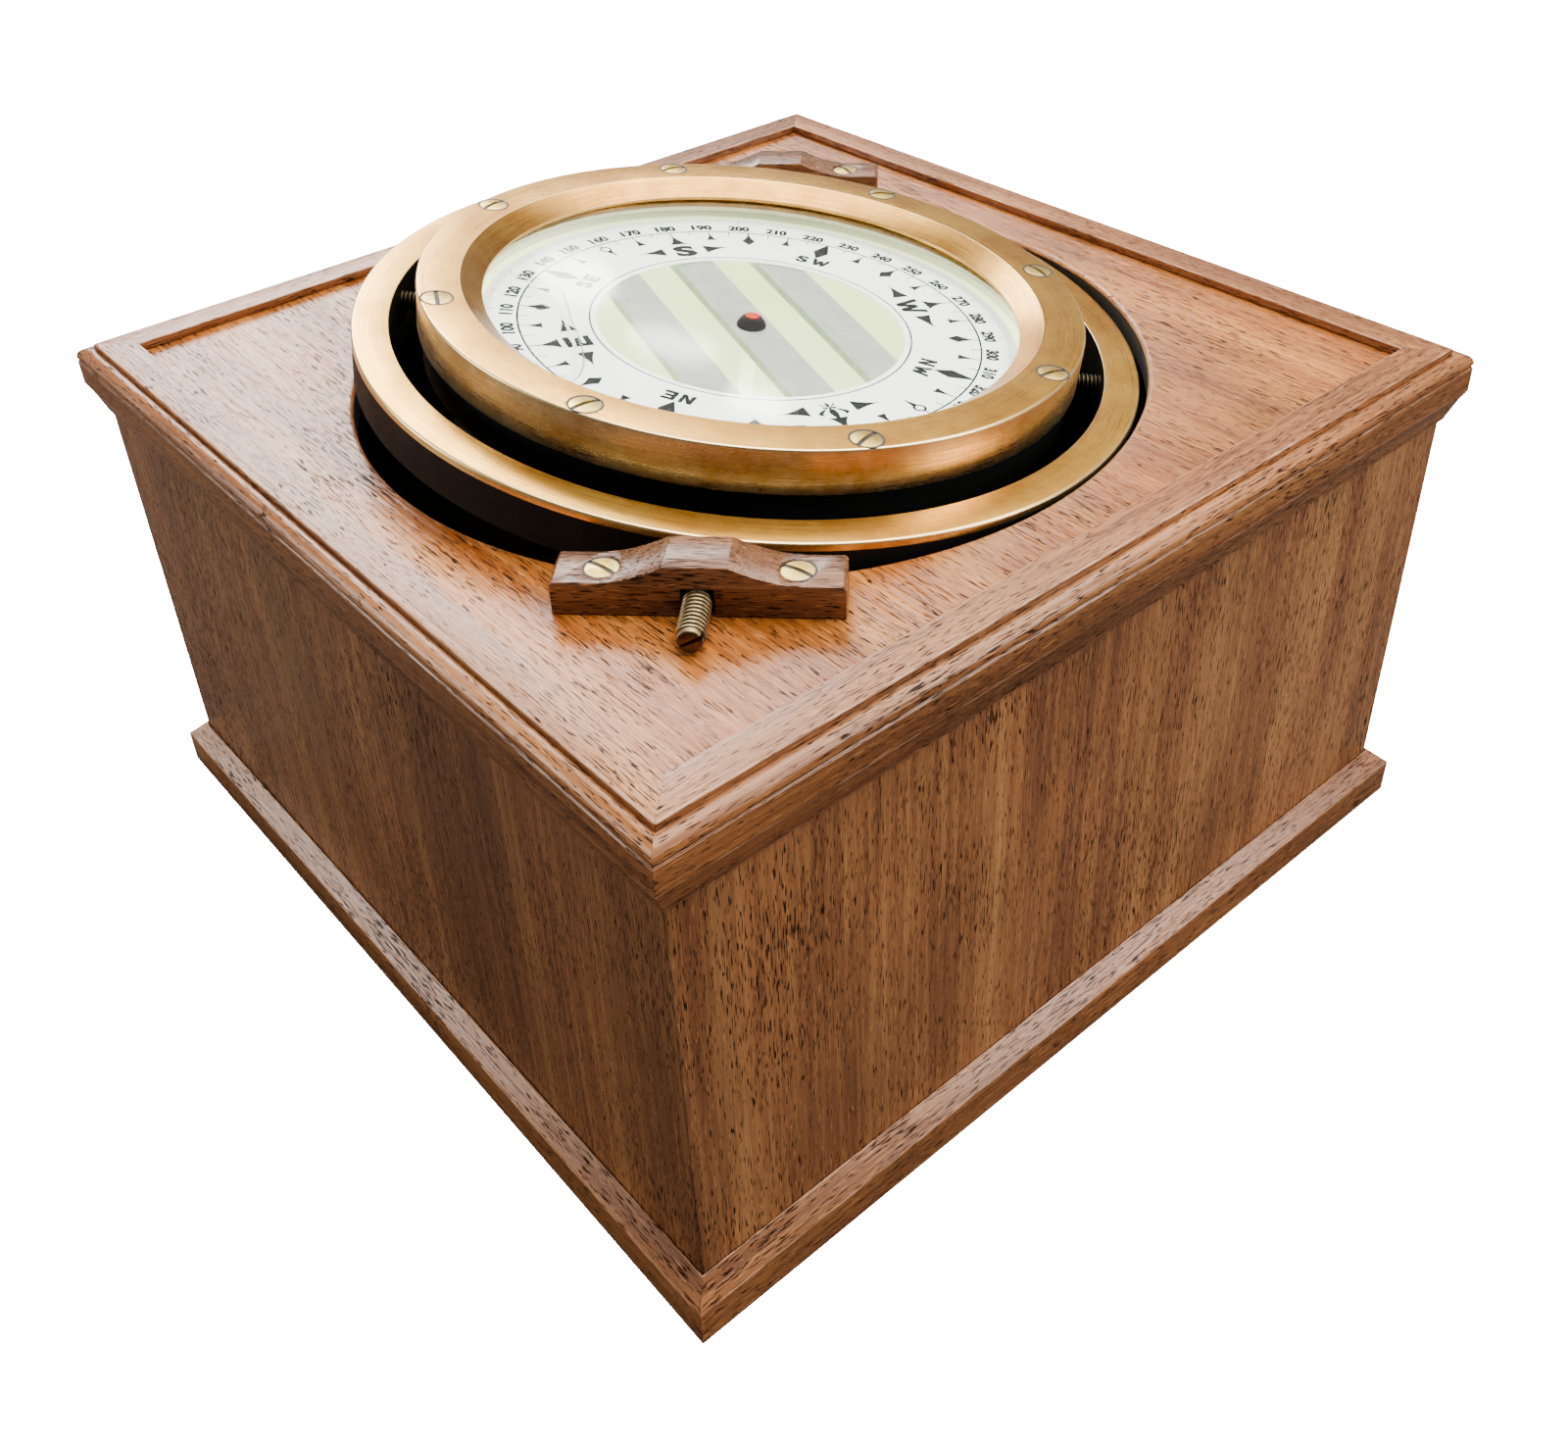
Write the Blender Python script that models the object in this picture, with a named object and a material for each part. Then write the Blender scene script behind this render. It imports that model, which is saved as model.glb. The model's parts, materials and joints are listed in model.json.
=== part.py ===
"""Boxed ship compass: liquid bowl in a gimbal ring, set in a square hardwood case.

Metres, +Z up.  The origin is the middle of the case's underside.  The outer gimbal axis
runs from the front right corner (+X, -Y) to the opposite one, and the bowl's own axis
crosses it.  The case's sides face -Y, +X, +Y and -X.
"""
import math

import bmesh
import bpy
from mathutils import Matrix, Vector

MM = 0.001
GAP = 0.3 * MM                      # space left between two pieces that touch
FINE = 48                           # facets round a large turned piece
COARSE = 16                         # facets round a screw or a pin
OFF_FACET = math.radians(7)         # turn that keeps a cutter's edges off the facets it cuts

# case
CASE_WIDTH = 305 * MM               # over the four sides
WALL = 12 * MM
CASE_HEIGHT = 179.6 * MM            # floor to the top of the rim
PANEL_THICK = 9 * MM
PANEL_DROP = 3 * MM                 # panel face below the rim
BOTTOM_THICK = 10 * MM
GLUE_BLOCK = 18 * MM
BASE_HEIGHT = 18.7 * MM             # base moulding, and its bevel and projection
BASE_PROUD = 6.2 * MM
BASE_BEVEL = 5.6 * MM
RIM_WIDTH = 11 * MM                 # flat top of the cornice
CORNICE_DEPTH = 24.6 * MM
CORNICE_PROUD = 4.7 * MM
BEAD_RADIUS = 3.4 * MM
QUIRK = 1.8 * MM

# gimbal
RING_WIDTH = 10.7 * MM
RING_HEIGHT = 14.3 * MM
BEZEL_CLEARANCE = 8.4 * MM          # bezel to ring
HOLE_CLEARANCE = 2.2 * MM           # ring to the edge of the panel's hole
STUD_RADIUS = 3.75 * MM
STUD_PROUD = 15.8 * MM              # stud past the bearing block
STUD_LIFT = 0.5 * MM                # stud clear of the panel
PIN_RADIUS = 3 * MM
GIMBAL_TURN = math.radians(-45)     # heading of the outer axis
RING_TILT = math.radians(-7.5)      # how the ring and the bowl hang at rest
BOWL_TILT = math.radians(-1.5)
CARD_TURN = math.radians(28.5)      # north on the card, from the outer axis

# slotted screws
SCREW_SLOT = 1.1 * MM               # width and depth of the slot
SCREW_CROWN = 0.4 * MM
SCREW_LAND = 0.4 * MM               # edge of the head, above its cone

# bearing blocks
BLOCK_LENGTH = 73 * MM
BLOCK_DEPTH = 14 * MM
BLOCK_HEIGHT = 14.7 * MM
BLOCK_END_HEIGHT = 9.6 * MM
BLOCK_FLAT = 15.6 * MM              # raised middle
BLOCK_SLOPE_END = 26 * MM
BLOCK_SETBACK = 2.1 * MM            # inner face, back from the edge of the hole
SLOT_CLEARANCE = 0.4 * MM
BLOCK_SCREW_REACH = 24.3 * MM
BLOCK_SCREW_HEAD = 4.4 * MM
BLOCK_SCREW_SHANK = 2.2 * MM
BLOCK_SCREW_LENGTH = 16 * MM

# bezel, glass and bowl, heights measured from the bowl's axis
SIGHT_RADIUS = 82.7 * MM            # glass that shows
BEZEL_SLOPE = 6.5 * MM              # width of the bevel round the glass
BEZEL_SKIRT = 9.3 * MM              # wall outside the glass
BEZEL_TOP = 20.05 * MM
BEZEL_HEIGHT = 13.75 * MM
GLASS_TOP = 13.95 * MM
GLASS_THICK = 4 * MM
GLASS_COVER = 9.8 * MM              # glass held under the bezel
LIP_THICK = 0.9 * MM
GASKET_THICK = 1.45 * MM
BEZEL_SCREWS = 8
BEZEL_SCREW_HEAD = 4.4 * MM
BEZEL_SCREW_SHANK = 2 * MM
BEZEL_SCREW_LENGTH = 19 * MM
FLANGE_STEP = 1.6 * MM              # flange inside the bezel's edge
FLANGE_HEIGHT = 12 * MM
PIN_DEPTH = 8.5 * MM                # bowl pivot into the flange
GASKET_WIDTH = 5 * MM
BOWL_WALL = 4 * MM
BOWL_DEPTH = 62 * MM
BOWL_FLOOR_RADIUS = 40 * MM
BOWL_FLOOR_THICK = 5 * MM
BOWL_STRAIGHT = 26 * MM             # where the round bottom begins, below the axis
EQUALISER_RADIUS = 3 * MM
EQUALISER_REACH = 22 * MM
DIAPHRAGM_THICK = 0.8 * MM
DIAPHRAGM_RADIUS = 38 * MM
DIAPHRAGM_SAG = 3.5 * MM
BALLAST_HEIGHT = 19 * MM
BALLAST_COVER = 4 * MM              # weight outside the diaphragm
PLUG_HEIGHT = -14 * MM              # filler plug, below the axis
PLUG_TURN = math.radians(138)
PLUG_RADIUS = 4 * MM
PLUG_HEAD = 7 * MM

# card
CARD_CLEARANCE = 3.5 * MM           # card's edge to the bowl's wall
CARD_WINDOW = 48.3 * MM
CARD_THICK = 0.5 * MM
CARD_LIFT = 6.1 * MM                # card's underside above the bowl's axis
MAGNET_WIDTH = 14 * MM
MAGNET_THICK = 2.8 * MM
MAGNET_PITCH = 28 * MM
MAGNET_LAP = 15.7 * MM              # bar under the card, past the edge of its window
CAP_RADIUS = 4.6 * MM
CAP_TOP_RADIUS = 3 * MM
CAP_HEIGHT = 2.6 * MM
CAP_BORE = 2 * MM
DOT_RADIUS = 2.2 * MM
DOT_THICK = 0.35 * MM
JEWEL_THICK = 0.6 * MM
POST_RADIUS = 2.4 * MM
POST_TIP_RADIUS = 1.2 * MM
LUBBER_RADIUS = 0.6 * MM

# worked out from the sizes above
HALF = CASE_WIDTH / 2
PANEL_TOP = CASE_HEIGHT - PANEL_DROP
PANEL_BOTTOM = PANEL_TOP - PANEL_THICK
PIVOT_HEIGHT = PANEL_TOP + STUD_LIFT + STUD_RADIUS
GLASS_RADIUS = SIGHT_RADIUS + GLASS_COVER
RECESS = GLASS_RADIUS + GAP         # inside of the bezel's skirt
BEZEL_RADIUS = RECESS + BEZEL_SKIRT
BOLT_CIRCLE = RECESS + BEZEL_SKIRT * 0.45
FLANGE_RADIUS = BEZEL_RADIUS - FLANGE_STEP
BOWL_INNER = GLASS_RADIUS - GASKET_WIDTH
RING_INNER = BEZEL_RADIUS + BEZEL_CLEARANCE
RING_OUTER = RING_INNER + RING_WIDTH
HOLE_RADIUS = RING_OUTER + HOLE_CLEARANCE
BLOCK_NEAR = HOLE_RADIUS + BLOCK_SETBACK
BLOCK_FAR = BLOCK_NEAR + BLOCK_DEPTH
STUD_END = BLOCK_FAR + STUD_PROUD
CARD_RADIUS = BOWL_INNER - CARD_CLEARANCE
BALLAST_RADIUS = DIAPHRAGM_RADIUS + BALLAST_COVER
BEZEL_BOTTOM = BEZEL_TOP - BEZEL_HEIGHT
GLASS_BOTTOM = GLASS_TOP - GLASS_THICK
GASKET_BOTTOM = GLASS_BOTTOM - GAP - GASKET_THICK
LEDGE = GASKET_BOTTOM - GAP         # top of the bowl's wall, under the gasket
FLANGE_TOP = BEZEL_BOTTOM - GAP
FLANGE_BOTTOM = FLANGE_TOP - FLANGE_HEIGHT
MAGNET_TOP = CARD_LIFT - GAP
MAGNET_BOTTOM = MAGNET_TOP - MAGNET_THICK
BOWL_FLOOR = -BOWL_DEPTH + BOWL_FLOOR_THICK
SOCKET_FLOOR = BOWL_FLOOR - 3 * MM - GAP
BALLAST_TOP = -BOWL_DEPTH - GAP - DIAPHRAGM_THICK - GAP


def clear_scene():
    for thing in list(bpy.data.objects):
        bpy.data.objects.remove(thing, do_unlink=True)


def finish(name, colour, rough, metal=0.0, alpha=1.0):
    """A plain material: colour as linear red, green, blue."""
    found = bpy.data.materials.get(name)
    if found:
        return found
    made = bpy.data.materials.new(name)
    made.use_nodes = True
    shader = made.node_tree.nodes["Principled BSDF"]
    shader.inputs["Base Color"].default_value = (*colour, 1)
    shader.inputs["Roughness"].default_value = rough
    shader.inputs["Metallic"].default_value = metal
    shader.inputs["Alpha"].default_value = alpha
    return made


def varnished_wood():
    return finish("varnished_hardwood", (0.25, 0.10, 0.045), 0.35)


def bare_wood():
    return finish("bare_softwood", (0.45, 0.28, 0.14), 0.7)


def lacquered_brass():
    return finish("lacquered_brass", (0.60, 0.38, 0.13), 0.3, 1.0)


def aged_brass():
    return finish("aged_brass", (0.19, 0.13, 0.06), 0.45, 1.0)


def black_paint():
    return finish("black_enamel", (0.01, 0.01, 0.01), 0.35)


def clear_glass():
    return finish("clear_glass", (0.9, 0.95, 0.92), 0.03, 0.0, 0.2)


def black_rubber():
    return finish("black_rubber", (0.02, 0.02, 0.02), 0.8)


def white_card():
    return finish("white_enamelled_card", (0.72, 0.77, 0.72), 0.45)


def grey_steel():
    return finish("painted_magnet_steel", (0.46, 0.48, 0.46), 0.4, 0.2)


def red_paint():
    return finish("orange_red_paint", (0.75, 0.08, 0.02), 0.4)


def red_jewel():
    return finish("ruby_jewel", (0.5, 0.02, 0.05), 0.1)


def bronze_sheet():
    return finish("bronze_sheet", (0.35, 0.2, 0.1), 0.4, 1.0)


def place(name, mesh, material, parent=None, spot=None):
    """One named sub-part."""
    piece = bpy.data.objects.new(name, mesh)
    bpy.context.scene.collection.objects.link(piece)
    if not mesh.materials:
        mesh.materials.append(material)
    if parent:
        piece.parent = parent
    if spot is not None:
        piece.matrix_local = spot
    return piece


def empty(name, location=(0, 0, 0), turn=(0, 0, 0), parent=None):
    guide = bpy.data.objects.new(name, None)
    bpy.context.scene.collection.objects.link(guide)
    guide.location = location
    guide.rotation_euler = turn
    guide.parent = parent
    return guide


def mesh_of(name, verts, faces):
    """A closed mesh with its faces pointing out."""
    form = bmesh.new()
    made = [form.verts.new(v) for v in verts]
    for face in faces:
        form.faces.new([made[i] for i in face])
    bmesh.ops.recalc_face_normals(form, faces=form.faces)
    mesh = bpy.data.meshes.new(name)
    form.to_mesh(mesh)
    form.free()
    return mesh


def turned(name, outline, facets=FINE, smooth=True):
    """A closed outline of (radius, height) points turned about Z; radius 0 is a pole."""
    verts, rings = [], []
    for radius, height in outline:
        if radius < 1e-9:
            rings.append([len(verts)] * facets)
            verts.append((0, 0, height))
            continue
        rings.append(list(range(len(verts), len(verts) + facets)))
        for step in range(facets):
            angle = 2 * math.pi * step / facets
            verts.append((radius * math.cos(angle), radius * math.sin(angle), height))
    faces = []
    for here, there in zip(rings, rings[1:] + rings[:1]):
        for step in range(facets):
            after = (step + 1) % facets
            face = [here[step], here[after], there[after], there[step]]
            face = list(dict.fromkeys(face))
            if len(face) > 2:
                faces.append(face)
    mesh = mesh_of(name, verts, faces)
    if smooth:
        mesh.shade_smooth()
        mesh.set_sharp_from_angle(angle=math.radians(35))
    return mesh


def swept(name, outline, ends):
    """A flat outline carried between two end frames, each a function of the outline's point."""
    count = len(outline)
    verts = [end(*point) for end in ends for point in outline]
    faces = [list(range(count)), list(range(2 * count - 1, count - 1, -1))]
    for here in range(count):
        after = (here + 1) % count
        faces.append([here, after, count + after, count + here])
    return mesh_of(name, verts, faces)


def box(name, low, high):
    (x0, y0, z0), (x1, y1, z1) = low, high
    outline = [(x0, y0), (x1, y0), (x1, y1), (x0, y1)]
    return swept(name, outline, [lambda x, y: (x, y, z0), lambda x, y: (x, y, z1)])


def cutter(name, mesh, parent=None, spot=None):
    tool = bpy.data.objects.new(name, mesh)
    bpy.context.scene.collection.objects.link(tool)
    tool.parent = parent
    if spot is not None:
        tool.matrix_local = spot
    tool.hide_render = True
    tool.display_type = "WIRE"
    return tool


def cut(piece, tool):
    hollow = piece.modifiers.new(tool.name, "BOOLEAN")
    hollow.operation = "DIFFERENCE"
    hollow.solver = "EXACT"
    hollow.object = tool


def baked(piece):
    """The mesh of a piece after its modifiers, so that copies can share it."""
    bpy.context.view_layer.update()
    graph = bpy.context.evaluated_depsgraph_get()
    return bpy.data.meshes.new_from_object(piece.evaluated_get(graph))


def radial(angle, reach=0.0, height=0.0):
    """Local Z turned to point outward along a heading, its origin at a reach and a height."""
    turn = Matrix.Rotation(angle, 4, "Z") @ Matrix.Rotation(math.pi / 2, 4, "Y")
    spot = Vector((reach * math.cos(angle), reach * math.sin(angle), height))
    return Matrix.Translation(spot) @ turn


def rod(name, radius, low, high, facets=COARSE):
    return turned(name, [(0, low), (radius, low), (radius, high), (0, high)], facets)


# ---------------------------------------------------------------- case
def mitred(name, outline, turn):
    """A length of timber along a side, its outline of (half width, height) mitred at 45 degrees."""
    spin = Matrix.Rotation(turn, 4, "Z")

    def end(sign):
        return lambda reach, height: spin @ Vector((sign * (reach - GAP / 2), -reach, height))

    return swept(name, outline, [end(-1), end(1)])


SIDES = {"front": 0.0, "right": math.pi / 2, "back": math.pi, "left": -math.pi / 2}


def base_outline():
    inner = HALF + GAP
    outer = HALF + BASE_PROUD
    return [(inner, 0), (outer, 0), (outer, BASE_HEIGHT - BASE_BEVEL), (outer - BASE_BEVEL, BASE_HEIGHT),
            (inner, BASE_HEIGHT)]


def cornice_outline():
    """Rim, quirk, bead, fillet, upright face and cove, then back up inside the angle."""
    inner = HALF - 0.4 * MM - RIM_WIDTH
    rim = HALF - 0.4 * MM
    bead_middle = HALF + CORNICE_PROUD - 0.4 * MM - BEAD_RADIUS
    bead_height = CASE_HEIGHT - QUIRK - BEAD_RADIUS
    outline = [(inner, CASE_HEIGHT), (rim, CASE_HEIGHT), (rim, CASE_HEIGHT - QUIRK - 0.5 * MM)]
    for step in range(5):
        angle = math.radians(100 - 25 * step)
        outline.append((bead_middle + BEAD_RADIUS * math.cos(angle),
                        bead_height + BEAD_RADIUS * math.sin(angle)))
    face = HALF + CORNICE_PROUD
    outline += [(face, bead_height - 1.3 * MM), (face, bead_height - 3 * MM)]
    foot = CASE_HEIGHT - CORNICE_DEPTH
    cove_top = foot + 7.5 * MM
    outline.append((face - 0.9 * MM, cove_top))
    outline += [(face - 2.6 * MM, cove_top - 3 * MM), (HALF + 0.8 * MM, foot)]
    outline += [(HALF + GAP, foot), (HALF + GAP, PANEL_TOP + GAP), (inner, PANEL_TOP + GAP)]
    return outline


def build_case():
    wood = varnished_wood()
    wall = [(HALF - WALL, 0), (HALF, 0), (HALF, PANEL_BOTTOM - GAP), (HALF - WALL, PANEL_BOTTOM - GAP)]
    for side, turn in SIDES.items():
        place(side + "_side", mitred(side + "_side", wall, turn), wood)
        place("base_moulding_" + side, mitred("base_moulding", base_outline(), turn), wood)
        place("cornice_" + side, mitred("cornice", cornice_outline(), turn), wood)

    inside = HALF - WALL - GAP
    board = box("bottom_board", (-inside, -inside, 0), (inside, inside, BOTTOM_THICK))
    place("bottom_board", board, bare_wood())
    for number in range(4):
        across = 1 if number in (0, 1) else -1
        along = 1 if number in (0, 3) else -1
        near, far = inside - GLUE_BLOCK, inside
        low = (min(across * near, across * far), min(along * near, along * far), BOTTOM_THICK + GAP)
        high = (max(across * near, across * far), max(along * near, along * far), PANEL_BOTTOM - GAP)
        place("corner_block_%d" % (number + 1), box("corner_block", low, high), bare_wood())

    panel = place("top_panel", box("top_panel", (-HALF, -HALF, PANEL_BOTTOM), (HALF, HALF, PANEL_TOP)), wood)
    hole = rod("bowl_hole", HOLE_RADIUS, PANEL_BOTTOM - WALL, PANEL_TOP + WALL, FINE)
    cut(panel, cutter("bowl_hole", hole))
    return panel


# ---------------------------------------------------------------- screws
def slotted(name, outline, width, depth, top, facets=COARSE):
    """A turned screw with a straight slot across its head, as one mesh."""
    reach = 20 * MM
    whole = bpy.data.objects.new(name, turned(name, outline, facets))
    bpy.context.scene.collection.objects.link(whole)
    slot = box(name + "_slot", (-reach, -width / 2, top - depth), (reach, width / 2, top + reach))
    tool = cutter(name + "_slot", slot)
    cut(whole, tool)
    mesh = baked(whole)
    bpy.data.objects.remove(whole, do_unlink=True)
    bpy.data.objects.remove(tool, do_unlink=True)
    return mesh


def countersunk(head, shank, length, crown):
    """Outline of a countersunk screw, its head's edge at height 0 and its crown above it."""
    return [(0, crown), (head * 0.55, crown * 0.8), (head, 0), (head, -SCREW_LAND),
            (shank, -SCREW_LAND - (head - shank)), (shank, -length), (0, -length)]


def countersink(name, head, shank, depth, above):
    """What a countersunk screw needs cleared round it, with a bore down to a depth."""
    head, shank = head + GAP, shank + GAP
    outline = [(0, above), (head, above), (head, -SCREW_LAND - GAP),
               (shank, -SCREW_LAND - GAP - (head - shank)), (shank, -depth), (0, -depth)]
    return turned(name, outline, COARSE)


# ---------------------------------------------------------------- bearing blocks
def block_outline():
    """End view along the outer axis: (across, height above the panel)."""
    half, flat = BLOCK_LENGTH / 2, BLOCK_FLAT / 2
    slot = STUD_RADIUS + SLOT_CLEARANCE
    slot_top = PIVOT_HEIGHT - PANEL_TOP + STUD_RADIUS + GAP
    corner = 0.8 * MM
    side = [(slot, slot_top), (slot, GAP), (half, GAP), (half, BLOCK_END_HEIGHT - corner),
            (half - corner, BLOCK_END_HEIGHT)]
    for step in range(7):
        part = step / 6
        across = BLOCK_SLOPE_END + (flat - BLOCK_SLOPE_END) * part
        side.append((across, BLOCK_END_HEIGHT + (BLOCK_HEIGHT - BLOCK_END_HEIGHT) * part ** 1.8))
    return side + [(-across, height) for across, height in reversed(side)]


def build_blocks(panel, frame):
    wood, brass = varnished_wood(), lacquered_brass()
    outline = countersunk(BLOCK_SCREW_HEAD, BLOCK_SCREW_SHANK, BLOCK_SCREW_LENGTH, SCREW_CROWN)
    screw = slotted("bearing_block_screw", outline, SCREW_SLOT, SCREW_SLOT, SCREW_CROWN)
    sunk = countersink("block_screw_hole", BLOCK_SCREW_HEAD, BLOCK_SCREW_SHANK, BLOCK_SCREW_LENGTH + GAP,
                       BLOCK_HEIGHT)
    drop = PANEL_TOP - PIVOT_HEIGHT
    number = 0
    for label, turn in (("front", 0.0), ("rear", math.pi)):
        face = Matrix.Rotation(turn, 4, "Z")
        mesh = swept("bearing_block", block_outline(),
                     [lambda across, height: (BLOCK_NEAR, across, height + drop),
                      lambda across, height: (BLOCK_FAR, across, height + drop)])
        block = place("bearing_block_" + label, mesh, wood, frame, face)
        for side in (-1, 1):
            number += 1
            spot = Vector(((BLOCK_NEAR + BLOCK_FAR) / 2, side * BLOCK_SCREW_REACH, drop + BLOCK_END_HEIGHT))
            turned_slot = Matrix.Rotation(math.radians(50 * side), 4, "Z")
            here = face @ Matrix.Translation(spot) @ turned_slot
            place("bearing_block_screw_%d" % number, screw, brass, frame, here)
            tool = cutter("block_screw_hole_%d" % number, sunk, frame, here)
            cut(block, tool)
            cut(panel, tool)


# ---------------------------------------------------------------- gimbal ring
def build_ring(frame):
    half, chamfer = RING_HEIGHT / 2, 0.8 * MM
    outline = [(RING_INNER, half), (RING_OUTER - chamfer, half), (RING_OUTER, half - chamfer),
               (RING_OUTER, -half), (RING_INNER, -half)]
    ring = place("gimbal_ring", turned("gimbal_ring", outline), lacquered_brass(), frame)

    depth = RING_OUTER - RING_INNER
    start = RING_INNER + GAP
    length = STUD_END - start
    edge = 0.5 * MM
    stud_outline = [(0, length), (STUD_RADIUS - edge, length), (STUD_RADIUS, length - edge),
                    (STUD_RADIUS, 0), (0, 0)]
    stud = slotted("pivot_stud", stud_outline, 1.2 * MM, 2 * MM, length)
    pin_start = FLANGE_RADIUS - PIN_DEPTH
    pin_length = RING_OUTER - 1 * MM - pin_start
    pin_outline = [(0, pin_length), (PIN_RADIUS, pin_length), (PIN_RADIUS, 2 * MM), (1 * MM, 0), (0, 0)]
    pin = slotted("bowl_pivot", pin_outline, 1 * MM, 1.5 * MM, pin_length)
    bore = RING_INNER - depth
    for label, angle in (("front", 0.0), ("rear", math.pi)):
        place("pivot_stud_" + label, stud, aged_brass(), frame, radial(angle, start))
        tool = rod("stud_hole_" + label, STUD_RADIUS + GAP, 0, 3 * depth)
        cut(ring, cutter("stud_hole_" + label, tool, frame, radial(angle, bore)))
    for label, angle in (("left", -math.pi / 2), ("right", math.pi / 2)):
        place("bowl_pivot_" + label, pin, aged_brass(), frame, radial(angle, pin_start))
        tool = rod("pin_hole_" + label, PIN_RADIUS + GAP, 0, 3 * depth)
        cut(ring, cutter("pin_hole_" + label, tool, frame, radial(angle, bore)))


# ---------------------------------------------------------------- bowl
def bowl_outline():
    """Flange and outer wall down to the round bottom, then the same inside, one wall thinner."""
    outer = BOWL_INNER + BOWL_WALL
    under = 9
    outline = [(BOWL_INNER, LEDGE), (GLASS_RADIUS, LEDGE), (GLASS_RADIUS, FLANGE_TOP),
               (FLANGE_RADIUS, FLANGE_TOP), (FLANGE_RADIUS, FLANGE_BOTTOM + 2 * MM),
               (FLANGE_RADIUS - 2 * MM, FLANGE_BOTTOM), (outer, FLANGE_BOTTOM)]

    def bend(reach, floor):
        return [(BOWL_FLOOR_RADIUS + (reach - BOWL_FLOOR_RADIUS) * math.cos(math.pi / 2 * step / under),
                 -BOWL_STRAIGHT + (floor + BOWL_STRAIGHT) * math.sin(math.pi / 2 * step / under))
                for step in range(under + 1)]

    socket = POST_RADIUS + GAP
    outline += bend(outer, -BOWL_DEPTH) + [(0, -BOWL_DEPTH), (0, SOCKET_FLOOR), (socket, SOCKET_FLOOR),
                                           (socket, BOWL_FLOOR)]
    return outline + bend(BOWL_INNER, BOWL_FLOOR)[::-1]


def build_bowl(frame):
    bowl = place("bowl", turned("bowl", bowl_outline()), black_paint(), frame)
    for label, angle in (("left", -math.pi / 2), ("right", math.pi / 2)):
        tool = rod("pivot_bore_" + label, PIN_RADIUS + GAP, 0, 2 * PIN_DEPTH)
        cut(bowl, cutter("pivot_bore_" + label, tool, frame, radial(angle, FLANGE_RADIUS - PIN_DEPTH - GAP)))
    equaliser = rod("equaliser_hole", EQUALISER_RADIUS, -BOWL_DEPTH - 5 * MM, BOWL_FLOOR + 5 * MM)
    beside = Matrix.Rotation(OFF_FACET, 4, "Z") @ Matrix.Translation((EQUALISER_REACH, 0, 0))
    cut(bowl, cutter("equaliser_hole", equaliser, frame, beside))

    post_foot, post_top = SOCKET_FLOOR + GAP, MAGNET_BOTTOM - 8 * MM
    tip = CARD_LIFT + CAP_HEIGHT - JEWEL_THICK - 0.9 * MM - GAP
    post = [(0, tip), (0.25 * MM, tip), (POST_TIP_RADIUS, tip - 3 * MM), (POST_TIP_RADIUS, post_top + 2 * MM),
            (POST_RADIUS, post_top), (POST_RADIUS, post_foot), (0, post_foot)]
    place("pivot_post", turned("pivot_post", post, COARSE), lacquered_brass(), frame)

    lubber = rod("lubber_wire", LUBBER_RADIUS, FLANGE_BOTTOM, CARD_LIFT + 1 * MM, 8)
    place("lubber_wire", lubber, black_paint(), frame,
          Matrix.Translation((BOWL_INNER - LUBBER_RADIUS - GAP, 0, 0)))

    build_bowl_bottom(frame)
    build_filler(bowl, frame)
    return bowl


def build_bowl_bottom(frame):
    """Corrugated diaphragm that lets the liquid swell, held by the ballast weight."""
    rim = DIAPHRAGM_RADIUS - 4 * MM
    face = -BOWL_DEPTH - GAP
    line = [(DIAPHRAGM_RADIUS, 0), (rim, 0), (rim - 3 * MM, -DIAPHRAGM_SAG)]
    for step in range(1, 6):
        radius = (rim - 3 * MM) * (1 - step / 6)
        line.append((radius, -DIAPHRAGM_SAG + (0.8 * MM if step % 2 else 0)))
    line.append((0, -DIAPHRAGM_SAG))
    upper = [(radius, face + height) for radius, height in line]
    lower = [(radius, face + height - DIAPHRAGM_THICK) for radius, height in reversed(line)]
    place("expansion_diaphragm", turned("expansion_diaphragm", upper + lower, 32), bronze_sheet(), frame)

    cavity = BALLAST_TOP - DIAPHRAGM_SAG - DIAPHRAGM_THICK - 2 * MM
    foot = BALLAST_TOP - BALLAST_HEIGHT
    weight = [(rim + GAP, BALLAST_TOP), (BALLAST_RADIUS, BALLAST_TOP), (BALLAST_RADIUS, foot + 5 * MM),
              (BALLAST_RADIUS - 5 * MM, foot), (0, foot), (0, cavity), (rim + GAP, cavity)]
    place("ballast_weight", turned("ballast_weight", weight, 32), black_paint(), frame)


def build_filler(bowl, frame):
    outer = BOWL_INNER + BOWL_WALL
    washer = [(PLUG_RADIUS + GAP, 1.2 * MM), (PLUG_HEAD, 1.2 * MM), (PLUG_HEAD, 0), (PLUG_RADIUS + GAP, 0)]
    plug = [(0, 4.5 * MM), (PLUG_HEAD - 1 * MM, 4.5 * MM), (PLUG_HEAD - 1 * MM, 1.5 * MM),
            (PLUG_RADIUS, 1.5 * MM), (PLUG_RADIUS, 0.3 * MM - BOWL_WALL), (0, 0.3 * MM - BOWL_WALL)]
    here = radial(PLUG_TURN, outer + GAP, PLUG_HEIGHT)
    place("filler_washer", turned("filler_washer", washer, COARSE), black_rubber(), frame, here)
    plug_mesh = slotted("filler_plug", plug, 1.4 * MM, 1.4 * MM, 4.5 * MM)
    place("filler_plug", plug_mesh, lacquered_brass(), frame, here)
    hole = rod("filler_hole", PLUG_RADIUS + GAP, -3 * BOWL_WALL, BOWL_WALL)
    cut(bowl, cutter("filler_hole", hole, frame, here @ Matrix.Rotation(OFF_FACET, 4, "Z")))


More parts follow.
